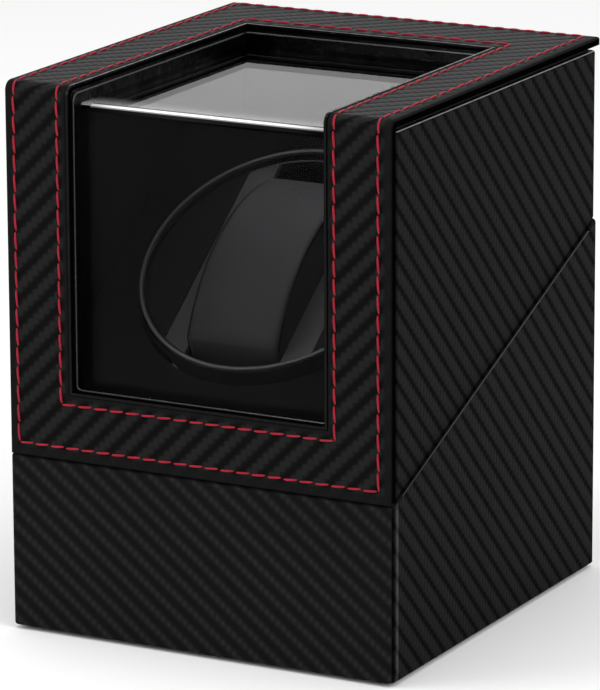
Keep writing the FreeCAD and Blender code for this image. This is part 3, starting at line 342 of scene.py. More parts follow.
def trim_gloss():
    """Thin glossy coating, a little wrinkled where it is folded into the opening."""
    finish = Finish("window_lining", Specular_IOR_Level=0.1)
    folds = finish.noise(0.12)
    finish.colour(folds, (0.2, grey(0.0004)), (0.8, grey(0.0010, 0.05)))
    finish.rough(0.2 + 0.2 * folds)
    return finish.bump(folds, 1.2).material


def bead_gloss():
    """Rolled edge of the coating, its colour varying at random and paler than the coating as a painted highlight.
    """
    finish = Finish("window_bead", Specular_IOR_Level=0.5)
    wear = finish.noise(0.35)
    # Painted highlight: the bead is coloured paler than the coating it is rolled from
    finish.colour(wear, (0.3, grey(0.003)), (0.8, grey(0.02, 0.05)))
    finish.rough(0.16 + 0.16 * wear)
    return finish.bump(wear, 0.12).material


def dull_black_coat():
    """Dull black coat with faint strokes; on the cover's cut edges it is painted shade."""
    finish = Finish("dull_black_coat", Specular_IOR_Level=0.0)
    strokes = finish.noise(0.8, detail=4)
    finish.colour(strokes, (0.3, grey(0.0003)), (0.8, grey(0.0009)))
    finish.rough(0.8 + 0.15 * strokes)
    return finish.bump(strokes, 0.03).material


# Clear pane: the reach and depth of the painted reflection on its top are in millimetres
PANE_IOR = 1.086
BEND_REFLECTION = 0.34
BEND_REFLECTION_REACH = 14.0
BEND_REFLECTION_DEPTH = 0.5
ONE_FACE_CROSSED = 1.5


def mixed(tree, share, without, fully):
    """A shader that is without where share is 0, fully where it is 1."""
    node = tree.nodes.new("ShaderNodeMixShader")
    tree.links.new(share.socket, node.inputs["Fac"])
    tree.links.new(without.outputs[0], node.inputs[1])
    tree.links.new(fully.outputs[0], node.inputs[2])
    return node


def falls_in(tree):
    """1 for rays that light the inside through the pane, 0 for rays that look at it or through it."""
    path = tree.nodes.new("ShaderNodeLightPath")
    shadow, scattered, mirrored, crossings = (
        Field(tree, path.outputs[name])
        for name in ("Is Shadow Ray", "Is Diffuse Ray", "Is Glossy Ray", "Transmission Depth")
    )
    mirrored_inside = mirrored * crossings.above(ONE_FACE_CROSSED)
    return shadow.apply("MAXIMUM", scattered).apply("MAXIMUM", mirrored_inside)


def clear_pane():
    """Clear acrylic with a painted reflection, a white diffuse, on top by the bend; light that falls in through it
    goes straight.
    """
    finish = Finish("clear_acrylic", Transmission_Weight=1.0, IOR=PANE_IOR, Roughness=0.0)
    _, y, z = finish.place()
    dust = finish.noise(0.04, detail=4)
    finish.colour(dust, (0.0, (0.97, 0.975, 0.98)), (1.0, (1.0, 1.0, 1.0)))
    near_bend = 1 - (y - PANE_LOW.y / MM).between(0.0, BEND_REFLECTION_REACH)
    # Painted reflection: white diffuse on top of the pane, fading back from the bend
    painted_reflection = BEND_REFLECTION * near_bend.power(2.0) * z.above(PANE_HIGH.z / MM - BEND_REFLECTION_DEPTH)
    tree = finish.tree
    reflection_white = tree.nodes.new("ShaderNodeBsdfDiffuse")
    reflection_white.inputs["Color"].default_value = (0.9, 0.9, 0.92, 1)
    with_reflection = mixed(tree, painted_reflection, finish.shader, reflection_white)
    straight = tree.nodes.new("ShaderNodeBsdfTransparent")
    surface = mixed(tree, falls_in(tree), with_reflection, straight)
    tree.links.new(surface.outputs[0], tree.nodes["Material Output"].inputs["Surface"])
    return finish.material


def moulded(name, dark, light, shine, gloss=0.4):
    """Moulded plastic with a fine spark-eroded grain and slight mottling."""
    finish = Finish(name, Specular_IOR_Level=gloss)
    grain = finish.noise(6.0)
    mottle = finish.noise(0.06)
    finish.colour(0.35 * grain + 0.65 * mottle, (0.3, grey(dark, 0.03)), (0.7, grey(light, 0.05)))
    finish.rough(shine + 0.12 * grain)
    return finish.bump(grain, 0.02).material


# Crest of the drum's rim, and the width of the painted highlight along it, in millimetres
RIM_CREST = 42.0
CREST_CORE, CREST_EDGE = 0.2, 0.6


def rim_crest():
    """Black moulding with a painted highlight along the crest of the rim."""
    finish = Finish("rim_moulding", Specular_IOR_Level=0.06)
    x, y, z = finish.place()
    slope = (y - DRUM_CENTRE.y / MM) * DRUM_SLOPE.y + (z - DRUM_CENTRE.z / MM) * DRUM_SLOPE.z
    radius = (x * x + slope * slope).power(0.5)
    # Painted highlight: a pale band along the crest
    painted_highlight = 1 - (radius - RIM_CREST).size().between(CREST_CORE, CREST_EDGE)
    grain = finish.noise(3.0, detail=4)
    finish.colour(painted_highlight * (0.8 + 0.3 * grain), (0.0, grey(0.0012)), (1.0, grey(0.06, 0.05)))
    finish.rough(0.4 + 0.15 * grain)
    return finish.bump(grain, 0.02).material


# Yarns of the pillow's cover, and the heights over which painted light makes it lighter towards the top, in
# millimetres
YARN_PITCH, FLOAT_PITCH = 0.22, 0.35
TOP_LIGHT_FROM, TOP_LIGHT_TO = 84, 135


def pillow_satin():
    """Satin cover: fine yarns across the pillow, with a soft sheen."""
    finish = Finish("pillow_satin", Specular_IOR_Level=0.1, Sheen_Weight=0.03, Sheen_Roughness=0.35)
    x, y, z = finish.place()
    yarn = (x / YARN_PITCH).wrap(1).wave()
    float_row = ((y + z) / FLOAT_PITCH).wrap(1).wave()
    cloud = finish.noise(0.08)
    # Painted light: the cover gets lighter higher up
    painted_top_light = z.between(TOP_LIGHT_FROM, TOP_LIGHT_TO)
    shade = 0.3 * cloud + 0.45 * painted_top_light + 0.15 * yarn + 0.1 * float_row
    finish.colour(shade, (0.2, grey(0.0032, 0.05)), (0.8, grey(0.029, 0.08)))
    finish.rough(0.46 + 0.14 * cloud)
    return finish.bump(0.6 * yarn + 0.4 * float_row, 0.02).material


def piping_black():
    """Dull woven cord."""
    finish = Finish("pillow_piping", Specular_IOR_Level=0.05)
    weave = finish.noise(3.0)
    finish.colour(weave, (0.2, grey(0.001)), (0.8, grey(0.004)))
    finish.rough(0.7 + 0.15 * weave)
    return finish.bump(weave, 0.03).material


# Twist of the thread, in millimetres
PLY_PITCH = 0.55


def thread_red():
    """Waxed thread, twisted from plies."""
    finish = Finish("stitch_thread", Specular_IOR_Level=0.2, Sheen_Weight=0.03)
    x, y, z = finish.place()
    plies = ((x + y + z) / PLY_PITCH).wrap(1).wave()
    dye = finish.noise(0.25)
    finish.colour(0.5 * plies + 0.5 * dye, (0.15, (0.10, 0.001, 0.005)), (0.85, (0.46, 0.009, 0.030)))
    finish.rough(0.5 + 0.15 * plies)
    return finish.bump(plies, 0.08).material


def board_fibre():
    """Fibreboard dyed black, its fibres running front to back."""
    finish = Finish("dyed_fibreboard", Specular_IOR_Level=0.2)
    fibres = finish.noise(1.2, detail=5, stretch=(1, 0.25, 1))
    finish.colour(fibres, (0.3, grey(0.010)), (0.75, (0.024, 0.022, 0.021)))
    finish.rough(0.75 + 0.15 * fibres)
    return finish.bump(fibres, 0.06).material


def rubber_black():
    """Black rubber with a slight bloom."""
    finish = Finish("black_rubber", Specular_IOR_Level=0.25)
    bloom = finish.noise(0.3, detail=4)
    finish.colour(bloom, (0.3, grey(0.010)), (0.8, grey(0.022)))
    finish.rough(0.7 + 0.2 * bloom)
    return finish.bump(finish.noise(5.0), 0.03).material


def bright_metal(name, tone, shine):
    """Machined metal with fine turning marks and slight tarnish."""
    finish = Finish(name, Metallic=1.0)
    marks = finish.noise(3.0, detail=4, stretch=(1, 1, 6))
    tarnish = finish.noise(0.15)
    deep = tuple(part * 0.7 for part in tone)
    finish.colour(0.4 * marks + 0.6 * tarnish, (0.3, deep), (0.75, tone))
    finish.rough(shine + 0.15 * marks)
    return finish.bump(marks, 0.01).material


def lacquered():
    """Black lacquer on steel, worn to bare metal in a few specks."""
    finish = Finish("hinge_lacquer", Specular_IOR_Level=0.5)
    coat = finish.noise(0.5, detail=4)
    finish.colour(coat, (0.3, grey(0.009)), (0.78, grey(0.020, 0.04)), (0.95, grey(0.08)))
    finish.rough(0.32 + 0.2 * coat)
    return finish.bump(finish.noise(3.0), 0.015).material


# Tracks of the circuit board: pitch in millimetres, and the share of it that is copper
TRACK_PITCH, TRACK_SHARE = 2.4, 0.22


def circuit_green():
    """Green lacquer over slanting tracks."""
    finish = Finish("circuit_board", Specular_IOR_Level=0.5)
    x, _, z = finish.place()
    tracks = ((x + z) / TRACK_PITCH).wrap(1).below(TRACK_SHARE)
    weave = finish.noise(1.5)
    finish.colour(0.7 * tracks + 0.3 * weave, (0.1, (0.006, 0.05, 0.018)), (0.9, (0.02, 0.16, 0.06)))
    finish.rough(0.4 + 0.1 * weave)
    return finish.bump(tracks, 0.03).material


def dress_nodes():
    """A material for every CAD node."""
    by_slot = {
        "wrap": wall_leather(),
        "board": board_fibre(),
        "lining": lining_cloth(),
        "trim": trim_gloss(),
        "pane": clear_pane(),
        "rim": rim_crest(),
        "drum": moulded("matte_moulding", 0.0015, 0.003, 0.62, gloss=0.05),
        "pillow": pillow_satin(),
        "rubber": rubber_black(),
        "steel": bright_metal("bright_steel", (0.62, 0.62, 0.63), 0.25),
        "hinge": lacquered(),
        "brass": bright_metal("turned_brass", (0.78, 0.58, 0.27), 0.25),
        "case": moulded("black_moulding", 0.012, 0.022, 0.38),
        "circuit": circuit_green(),
    }
    tray = moulded("tray_moulding", 0.022, 0.034, 0.5, gloss=0.1)
    by_node = {"lid_cover_frame": cover_leather(), "pillow_tray": tray}
    for row in frame["record"]["subparts"]:
        material = by_node.get(row["node"], by_slot[row["material_slot"]])
        mesh = NODES[row["node"]].data
        mesh.materials.clear()
        mesh.materials.append(material)
    return by_slot


# Mesh pieces


def mesh_from(name, build, smooth):
    """A mesh filled in by build(bm)."""
    bm = bmesh.new()
    build(bm)
    bmesh.ops.recalc_face_normals(bm, faces=bm.faces)
    mesh = bpy.data.meshes.new(name)
    bm.to_mesh(mesh)
    bm.free()
    for face in mesh.polygons:
        face.use_smooth = smooth
    return mesh


def piece(name, build, material, body, smooth=True):
    """A shown piece, its mesh filled in by build(bm), that rides on a CAD body."""
    mesh = mesh_from(name, build, smooth)
    mesh.materials.append(material)
    item = bpy.data.objects.new(name, mesh)
    bpy.context.scene.collection.objects.link(item)
    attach(item, body)
    return item


def circle(sides):
    """Angles evenly round a circle."""
    return [2 * math.pi * step / sides for step in range(sides)]


def loft(bm, rings, closed=False):
    """Faces between rings of points, each ring closed on itself, with caps unless the rings close too."""
    rows = [[bm.verts.new(point) for point in ring] for ring in rings]
    pairs = list(zip(rows, rows[1:]))
    if closed:
        pairs.append((rows[-1], rows[0]))
    count = len(rows[0])
    for one, other in pairs:
        for index in range(count):
            following = (index + 1) % count
            bm.faces.new((one[index], one[following], other[following], other[index]))
    if not closed:
        bm.faces.new(rows[0])
        bm.faces.new(rows[-1])


def tube(bm, path, radius, sides=10, closed=True):
    """A round tube along points, with its section turned as little as possible from point to point."""
    count = len(path)
    side = None
    rings = []
    for index, point in enumerate(path):
        before = path[index - 1] if closed or index else point
        after = path[(index + 1) % count] if closed or index + 1 < count else point
        along = (after - before).normalized()
        if side is None:
            side = along.orthogonal().normalized()
        side = (side - along * side.dot(along)).normalized()
        other = along.cross(side)
        rings.append(
            [point + (side * math.cos(turn) + other * math.sin(turn)) * radius for turn in circle(sides)]
        )
    loft(bm, rings, closed)


def turned(bm, centre, rings, sides=48, groove=lambda turn: 1.0):
    """A turned form about an axis along +Y: rings are (radius, y, grooved), groove a share by angle."""
    turns = circle(sides)
    loops = []
    for radius, y, grooved in rings:
        reaches = [radius * (groove(turn) if grooved else 1.0) for turn in turns]
        loops.append(
            [
                Vector((centre.x + math.cos(turn) * reach, y, centre.z + math.sin(turn) * reach))
                for turn, reach in zip(turns, reaches)
            ]
        )
    loft(bm, loops)


# Stitching on the cover frame, laid out on the sheet as if it were unrolled
RIDGE_ROUND = 3.0 * MM
STITCH_PITCH = 5.15 * MM
OUTER_PITCH_UP = 5.75 * MM
INNER_PITCH_UP = 5.35 * MM
STITCH_GAP = 0.75 * MM
STITCH_GAP_UP = 0.35 * MM
THREAD = 0.34 * MM
STITCH_LEAN = math.radians(4.5)
STITCH_RISE = 0.3 * MM
STITCH_SUNK = 0.12 * MM
STITCH_STEPS, STITCH_SIDES = 9, 8
THREAD_FLAT = 0.85
ARCH_POWER = 3.5
THREAD_TAPER, TAPER_POWER = 0.5, 4
NUDGE = 1e-5

# How far the rows lie in from the cover's edges and out from the window, and drift on the right
OUTER_INSET = 3.1 * MM
OUTER_DRIFT = 1.0 * MM
INNER_DRIFT = 0.5 * MM
OUTER_BOTTOM = 4.0 * MM
OUTER_BACK = 2.2 * MM
INNER_MARGIN = 3.7 * MM
INNER_BOTTOM = 3.8 * MM
INNER_BACK = 6.2 * MM


def sheet_point(x, run, lift):
    """Point and outward normal of the cover at x, run along the sheet from the floor up and over."""
    ridge_start = COVER_HIGH.z - RIDGE_ROUND
    bend = math.pi / 2 * RIDGE_ROUND
    past = run - ridge_start
    if past <= 0:
        normal = Vector((0, -1, 0))
        spot = Vector((x, COVER_LOW.y, run))
    elif past < bend:
        turn = past / RIDGE_ROUND
        normal = Vector((0, -math.cos(turn), math.sin(turn)))
        centre = Vector((x, COVER_LOW.y + RIDGE_ROUND, ridge_start))
        spot = centre + normal * RIDGE_ROUND
    else:
        normal = Vector((0, 0, 1))
        spot = Vector((x, COVER_LOW.y + RIDGE_ROUND + past - bend, COVER_HIGH.z))
    return spot + normal * lift, normal


def run_at_back(y):
    """Run along the sheet of a place y on the top."""
    return COVER_HIGH.z - RIDGE_ROUND + math.pi / 2 * RIDGE_ROUND + y - COVER_LOW.y - RIDGE_ROUND


def stitch(bm, middle, along, length):
    """One stitch on the sheet: a thread that rises out of the leather and dips back into it."""
    along = Matrix.Rotation(STITCH_LEAN, 2) @ along
    rings = []
    for step in range(STITCH_STEPS):
        share = 2 * step / (STITCH_STEPS - 1) - 1
        spot = middle + along * (length / 2 * share)
        lift = STITCH_RISE * (1 - abs(share) ** ARCH_POWER) - STITCH_SUNK
        radius = THREAD * (1 - THREAD_TAPER * abs(share) ** TAPER_POWER)
        point, normal = sheet_point(spot.x, spot.y, lift)
        ahead = sheet_point(spot.x + along.x * NUDGE, spot.y + along.y * NUDGE, lift)[0] - point
        side = ahead.normalized().cross(normal).normalized()
        rings.append(
            [
                point + side * math.cos(turn) * radius + normal * math.sin(turn) * radius * THREAD_FLAT
                for turn in circle(STITCH_SIDES)
            ]
        )
    loft(bm, rings)


def stitch_run(bm, start, end, pitch, gap):
    """Stitches in a straight line on the sheet, from corner to corner."""
    start, end = Vector(start), Vector(end)
    count = round((end - start).length / pitch)
    step = (end - start) / count
    for number in range(count):
        stitch(bm, start + step * (number + 0.5), step.normalized(), step.length - gap)


def stitch_rows(bm):
    """Two rows round the cover; on the right side both were sewn a little further in."""
    outer_x = COVER_HIGH.x - OUTER_INSET
    inner_x = WINDOW_HALF + INNER_MARGIN
    outer_back = run_at_back(COVER_HIGH.y - OUTER_BACK)
    inner_back = run_at_back(WINDOW_BACK + INNER_BACK)
    rows = [
        (-outer_x, outer_x - OUTER_DRIFT, COVER_LOW.z + OUTER_BOTTOM, outer_back, OUTER_PITCH_UP),
        (-inner_x, inner_x - INNER_DRIFT, WINDOW_BOTTOM - INNER_BOTTOM, inner_back, INNER_PITCH_UP),
    ]
    for left, right, bottom, back, pitch_up in rows:
        stitch_run(bm, (left, bottom), (right, bottom), STITCH_PITCH, STITCH_GAP)
        stitch_run(bm, (left, back), (right, back), STITCH_PITCH, STITCH_GAP)
        for side in (left, right):
            stitch_run(bm, (side, bottom), (side, back), pitch_up, STITCH_GAP_UP)


# Rolled beads of the window opening: inset from its walls, depth below the cover, radius
OUTER_BEAD = 0.0 * MM, 1.1 * MM, 0.42 * MM
INNER_BEAD = 0.2 * MM, 2.7 * MM, 0.4 * MM
BEAD_CORNER = 1.2 * MM
CORNER_CUT = 0.3 * BEAD_CORNER
BEND_TIGHTENING = 0.2
BEND_STEPS = 8


def rounded_side(x, end, inward):
    """Places along one end of the opening from left to right, with rounded corners; inward is 1 or -1."""
    left = [
        (-x, end + inward * BEAD_CORNER),
        (-x + CORNER_CUT, end + inward * CORNER_CUT),
        (-x + BEAD_CORNER, end),
    ]
    return left + [(-across, place) for across, place in reversed(left)]


def opening_path(inset, depth):
    """Points round the window opening: along its foot, over the ridge on the right, back on the left."""
    x = WINDOW_HALF - inset
    bottom = WINDOW_BOTTOM + inset
    back = WINDOW_BACK - inset
    front, top = COVER_LOW.y + depth, COVER_HIGH.z - depth
    bend = RIDGE_ROUND - BEND_TIGHTENING * depth
    turns = [math.pi / 2 * step / BEND_STEPS for step in range(BEND_STEPS + 1)]
    arc = [(front + bend * (1 - math.cos(turn)), top - bend * (1 - math.sin(turn))) for turn in turns]
    path = [Vector((across, front, z)) for across, z in rounded_side(x, bottom, 1)]
    path += [Vector((x, y, z)) for y, z in arc]
    path += [Vector((across, y, top)) for across, y in reversed(rounded_side(x, back, -1))]
    path += [Vector((-x, y, z)) for y, z in reversed(arc)]
    return path


def opening_bead(name, sizes, material):
    """A rolled bead round the window opening."""
    inset, depth, radius = sizes
    path = opening_path(inset, depth)
    piece(name, lambda bm: tube(bm, path, radius), material, "lid")


# Painted shade on the cover's cut edges: a thin dull black coat
PAINT_FROM, PAINT_TO = 0.8 * MM, 2.45 * MM
PAINT_SUNK, PAINT_PROUD = 0.1 * MM, 0.05 * MM


def painted_edges(bm):
    """A coat on the cover's two side edges, up the front, over the ridge and back."""
    ridge = COVER_HIGH.z - RIDGE_ROUND
    bend = [ridge + math.pi / 2 * RIDGE_ROUND * step / BEND_STEPS for step in range(BEND_STEPS + 1)]
    runs = [COVER_LOW.z + PAINT_FROM, *bend, run_at_back(COVER_HIGH.y - PAINT_FROM)]
    for side in (-1, 1):
        inner, outer = side * (COVER_HIGH.x - PAINT_SUNK), side * (COVER_HIGH.x + PAINT_PROUD)
        section = (inner, PAINT_FROM), (outer, PAINT_FROM), (outer, PAINT_TO), (inner, PAINT_TO)
        loft(bm, [[sheet_point(x, run, -depth)[0] for x, depth in section] for run in runs])


# Painted highlight along the bend of the pane: a thin strip
BEND_ROUND = 3.0 * MM
BEND_LINE_LIFT = 0.05 * MM
BEND_LINE_FROM, BEND_LINE_TO = math.radians(22), math.radians(90)
BEND_LINE_END = 3.4 * MM
BEND_LINE_BAND = 1.0


def bend_highlight(bm):
    """A thin bowed strip on the outside of the bend, nearly as wide as the opening."""
    centre_y, centre_z = PANE_LOW.y + BEND_ROUND, PANE_HIGH.z - BEND_ROUND
    turns = [BEND_LINE_FROM + (BEND_LINE_TO - BEND_LINE_FROM) * step / BEND_STEPS for step in range(BEND_STEPS + 1)]
    outline = [(turn, BEND_ROUND + BEND_LINE_LIFT) for turn in turns]
    outline += [(turn, BEND_ROUND - BEND_LINE_LIFT) for turn in reversed(turns)]
    rings = []
    for x in (-WINDOW_HALF + BEND_LINE_END, WINDOW_HALF - BEND_LINE_END):
        rings.append(
            [
                Vector((x, centre_y - math.cos(turn) * radius, centre_z + math.sin(turn) * radius))
                for turn, radius in outline
            ]
        )
    loft(bm, rings)


def bend_highlight_paint():
    """Painted highlight of the bend: a white line, duller grey below it, with painted dark borders."""
    finish = Finish("bend_highlight", Specular_IOR_Level=0.05)
    z = finish.place()[2]
    cloud = finish.noise(0.4, stretch=(0.2, 1, 1))
    height = (z - PANE_HIGH.z / MM).between(-BEND_LINE_BAND, 0.0) + 0.04 * (cloud - 0.5)
    # Painted highlight in white and dull grey, and painted shade in the dark borders
    dark, dull, white, border = grey(0.003), grey(0.25), grey(0.97), grey(0.06)
    stops = (0.16, dark), (0.26, dull), (0.46, dull), (0.54, white), (0.92, white), (0.97, border)
    finish.colour(height, *stops)
    finish.rough(0.35 + 0.2 * cloud)
    return finish.bump(cloud, 0.01).material


# Pressed edges of the wrapped boards: thin beads whose pale colour is a painted highlight
EDGE_BEAD = 0.2 * MM
SHADOW_GAP = 1.5 * MM
COVER_THICK = 2.5 * MM
LID_EDGE_END, BASE_EDGE_END = 2.0 * MM, 6.5 * MM
LID_EDGE_HIGHLIGHT, BASE_EDGE_HIGHLIGHT = 0.2, 0.03


def lid_edges(bm):
    """The outer edges of the side boards, where they meet the shadow gap under the cover."""
    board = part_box("lid_right_board")[1]
    side, back = board.x - EDGE_BEAD / 2, board.y - LID_EDGE_END
    front, top = COVER_LOW.y + COVER_THICK + SHADOW_GAP, COVER_HIGH.z - COVER_THICK - SHADOW_GAP
    for x in (-side, side):
        tube(bm, [Vector((x, front, top)), Vector((x, back, top))], EDGE_BEAD, sides=8, closed=False)


def rim_height(y):
    """Height of the base's rim at y: it rises evenly from front to back."""
    return FRONT_BOARD_HIGH.z + RIM_RISE * (y - FRONT_BOARD_HIGH.y)


def base_edges(bm):
    """The outer edges of the base's rim, rising to the back on both sides."""
    side = BASE_HIGH.x - EDGE_BEAD / 2
    ends = BASE_LOW.y + BASE_EDGE_END, BASE_HIGH.y - BASE_EDGE_END
    for x in (-side, side):
        path = [Vector((x, y, rim_height(y))) for y in ends]
        tube(bm, path, EDGE_BEAD, sides=8, closed=False)


# Felt strip on the rim of the base, which the lid closes on
FELT_HALF = 1.0 * MM
FELT_THICK = 0.36 * MM
FELT_SUNK = 0.05 * MM
FELT_INSET = 3.4 * MM


def rim_felt(bm):
    """A flat strip round the rim, in the middle of the boards."""
    x, front, back = BASE_HIGH.x - FELT_INSET, BASE_LOW.y + FELT_INSET, BASE_HIGH.y - FELT_INSET
    section = [(FELT_HALF, -FELT_SUNK), (FELT_HALF, FELT_THICK)]
    section += [(-FELT_HALF, FELT_THICK), (-FELT_HALF, -FELT_SUNK)]
    loops = []
    for grow, lift in section:
        right, near, far = x + grow, front - grow, back + grow
        corners = [(-right, near), (right, near), (right, far), (-right, far)]
        loops.append([Vector((across, y, rim_height(y) + lift)) for across, y in corners])
    loft(bm, loops, closed=True)


def edge_gloss(name, tone):
    """The same leatherette, pressed smooth at an edge, coloured pale as a painted highlight."""
    finish = Finish(name, Specular_IOR_Level=0.3)
    wear = finish.noise(0.5)
    finish.colour(wear, (0.3, grey(tone * 0.5)), (0.8, grey(tone, 0.05)))
    finish.rough(0.3 + 0.2 * wear)
    return finish.bump(wear, 0.02).material


# Raised line inside the rim, above the pillow
ARC_RADIUS = 37.8 * MM
ARC_LIFT = 0.1 * MM
ARC_WIRE = 0.22 * MM
ARC_REACH = 15.0 * MM
ARC_STEPS = 8


def rim_arc(bm):
    """A thin bead across the upper end of the pillow's trough."""
    reach = math.asin(ARC_REACH / ARC_RADIUS)
    turns = [reach * (step / ARC_STEPS - 1) for step in range(2 * ARC_STEPS + 1)]
    path = [
        DRUM_CENTRE
        + Vector((math.sin(turn), 0, 0)) * ARC_RADIUS
        + DRUM_SLOPE * math.cos(turn) * ARC_RADIUS
        + DRUM_AXIS * ARC_LIFT
        for turn in turns
    ]
    tube(bm, path, ARC_WIRE, sides=8, closed=False)


# Knob and button on the back; the pointer's outline is in millimetres
KNOB_FLUTES = 16
FLUTE_DEPTH = 0.07
KNOB_SHAFT = 3.0 * MM
KNOB_SIDES = 96
POINTER_RISE = 0.8 * MM
POINTER_SUNK = 0.6 * MM
POINTER_OUTLINE = (-0.5, 0.8), (0.5, 0.8), (0.5, 6.2), (0, 6.7), (-0.5, 6.2)

# Profiles towards the top: share of the radius, depth below the top in millimetres, grooved
KNOB_PROFILE = [(0.96, 5.0, False), (1.0, 4.6, True), (1.0, 1.2, True), (0.96, 0.4, True)]
KNOB_PROFILE += [(0.88, 0.0, False), (0.72, 0.0, False), (0.66, 0.4, False), (0.2, 0.5, False)]
BUTTON_PROFILE = [(1.0, 0.8, False), (0.95, 0.25, False), (0.86, 0.0, False)]
BUTTON_PROFILE += [(0.6, 0.25, False), (0.15, 0.4, False)]


def flute(turn):
    """Share of the knob's radius that is left at an angle."""
    return 1 - FLUTE_DEPTH * max(0, math.cos(KNOB_FLUTES * turn)) ** 2


def shaped(profile, radius, top):
    """Rings of a profile at its radius and below its top."""
    return [(radius * share, top - depth * MM, grooved) for share, depth, grooved in profile]


def knob_body(bm):
    """A fluted knob with a rounded top edge and a shallow dish."""
    low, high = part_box("mode_knob")
    centre, radius, top = (low + high) / 2, (high.x - low.x) / 2, high.y - POINTER_RISE
    grip = shaped(KNOB_PROFILE, radius, top)
    shaft = [(KNOB_SHAFT, low.y, False), (KNOB_SHAFT, grip[0][1], False)]
    turned(bm, centre, shaft + grip, KNOB_SIDES, flute)


def knob_pointer(bm):
    """A painted bar standing on the knob's top, from the middle to the upper edge."""
    low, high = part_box("mode_knob")
    centre = (low + high) / 2
    rings = []
    for y in (high.y - POINTER_RISE - POINTER_SUNK, high.y):
        rings.append(
            [
                Vector((centre.x + across * MM, y, centre.z + up * MM))
                for across, up in POINTER_OUTLINE
            ]
        )
    loft(bm, rings)


def button_body(bm):
    """A push button with a rounded edge and a dished top."""
    low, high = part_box("power_button")
    centre, radius, top = (low + high) / 2, (high.x - low.x) / 2, high.y
    turned(bm, centre, [(radius, low.y, False), *shaped(BUTTON_PROFILE, radius, top)])


def white_paint():
    """White paint, a little worn."""
    finish = Finish("pointer_paint", Specular_IOR_Level=0.4)
    wear = finish.noise(1.5, detail=4)
    finish.colour(wear, (0.3, grey(0.55)), (0.7, grey(0.72)))
    finish.rough(0.4 + 0.2 * wear)
    return finish.bump(wear, 0.02).material


def controls(moulding):
    """The knob with its pointer, and the button, in place of their plain forms."""
    knob = piece("mode_knob_fluted", knob_body, moulding, "knob")
    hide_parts("mode_knob")
    piece("mode_knob_pointer", knob_pointer, white_paint(), "knob", smooth=False)
    button = piece("power_button_dished", button_body, moulding, "button")
    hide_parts("power_button")


# Hinge screws
SCREW_HEAD = 2.05 * MM
SCREW_SHANK = 1.1 * MM
SCREW_POINT = 0.2 * SCREW_SHANK
POINT_LENGTH = 1.0 * MM
SCREW_SIDES, HEAD_CIRCLES = 48, 14
DOME_POWER = 2.4
SLOT_HALF = 0.33 * MM
SLOT_REACH = 1.25 * MM
SLOT_DEPTH = 0.5 * MM
SLOT_FROM = 0.05 * MM
SCREW_PITCH = 16.0 * MM
LEAF_THICK = 1.0 * MM


def screw(bm, x, z, tip, seat, crown):
    """A domed screw along -Y with a cross recess in its head."""
    profile = [(SCREW_POINT, tip), (SCREW_SHANK, tip + POINT_LENGTH)]
    profile += [(SCREW_SHANK, seat), (SCREW_HEAD, seat)]
    for number in range(HEAD_CIRCLES):
        share = 1 - number / HEAD_CIRCLES
        profile.append((SCREW_HEAD * share, seat + (crown - seat) * (1 - share**DOME_POWER)))
    rings = []
    for radius, y in profile:
        ring = []
        for turn in circle(SCREW_SIDES):
            across, up = radius * math.cos(turn), radius * math.sin(turn)
            thin, long = sorted((abs(across), abs(up)))
            in_slot = y > seat + SLOT_FROM and thin < SLOT_HALF and long < SLOT_REACH
            sunk = SLOT_DEPTH if in_slot else 0
            ring.append(Vector((x + across, y - sunk, z + up)))
        rings.append(ring)
    loft(bm, rings)


def hinge_screws(metal):
    """Two screws in each leaf of each hinge."""
    for node, body in (("hinge_base_screws", "base"), ("hinge_lid_screws", "lid")):
        low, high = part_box(node)
        z = (low.z + high.z) / 2
        outer = high.x - (high.z - low.z) / 2
        places = [side * (outer - shift) for side in (-1, 1) for shift in (0, SCREW_PITCH)]
        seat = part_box(node.replace("screws", "leaves"))[0].y + LEAF_THICK

        def heads(bm):
            for x in places:
                screw(bm, x, z, low.y, seat, high.y)

        item = piece(node + "_domed", heads, metal, body)
        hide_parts(node)


# Watch pillow: its outline lies along the drum's slope and axis
PILLOW_HALF = 15.0 * MM
PILLOW_END = 31.3 * MM
PILLOW_TOP = 10.8 * MM
PILLOW_SHOULDER = 1.5 * MM
PILLOW_HAUNCH = -20.0 * MM
PILLOW_BOTTOM = -30.4 * MM
PILLOW_BULGE = 1.7 * MM
PILLOW_SHIFT = -3.0 * MM
ARC_POINTS = 18

# Rounding of its side seams: share of the half width, and the inset there in millimetres
PILLOW_SEAM = [(1.00, 1.7), (0.992, 0.9), (0.965, 0.4), (0.92, 0.15), (0.86, 0.06)]
PIPING_PLACE = 0.99
PIPING_INSET = 0.75 * MM
PIPING_RADIUS = 0.32 * MM


def arc_through(start, middle, end, count):
    """Points on the circle through three points, without the last."""
    ax, ay = start
    bx, by = middle
    cx, cy = end
    area = 2 * (ax * (by - cy) + bx * (cy - ay) + cx * (ay - by))
    first, second, third = ax * ax + ay * ay, bx * bx + by * by, cx * cx + cy * cy
    ox = (first * (by - cy) + second * (cy - ay) + third * (ay - by)) / area
    oy = (first * (cx - bx) + second * (ax - cx) + third * (bx - ax)) / area
    begin = math.atan2(ay - oy, ax - ox)
    half = math.atan2(by - oy, bx - ox)
    finish = math.atan2(cy - oy, cx - ox)
    turn = (finish - begin) % (2 * math.pi)
    if (half - begin) % (2 * math.pi) > turn:
        turn -= 2 * math.pi
    radius = math.hypot(ax - ox, ay - oy)
    angles = [begin + turn * step / count for step in range(count)]
    return [(ox + radius * math.cos(angle), oy + radius * math.sin(angle)) for angle in angles]


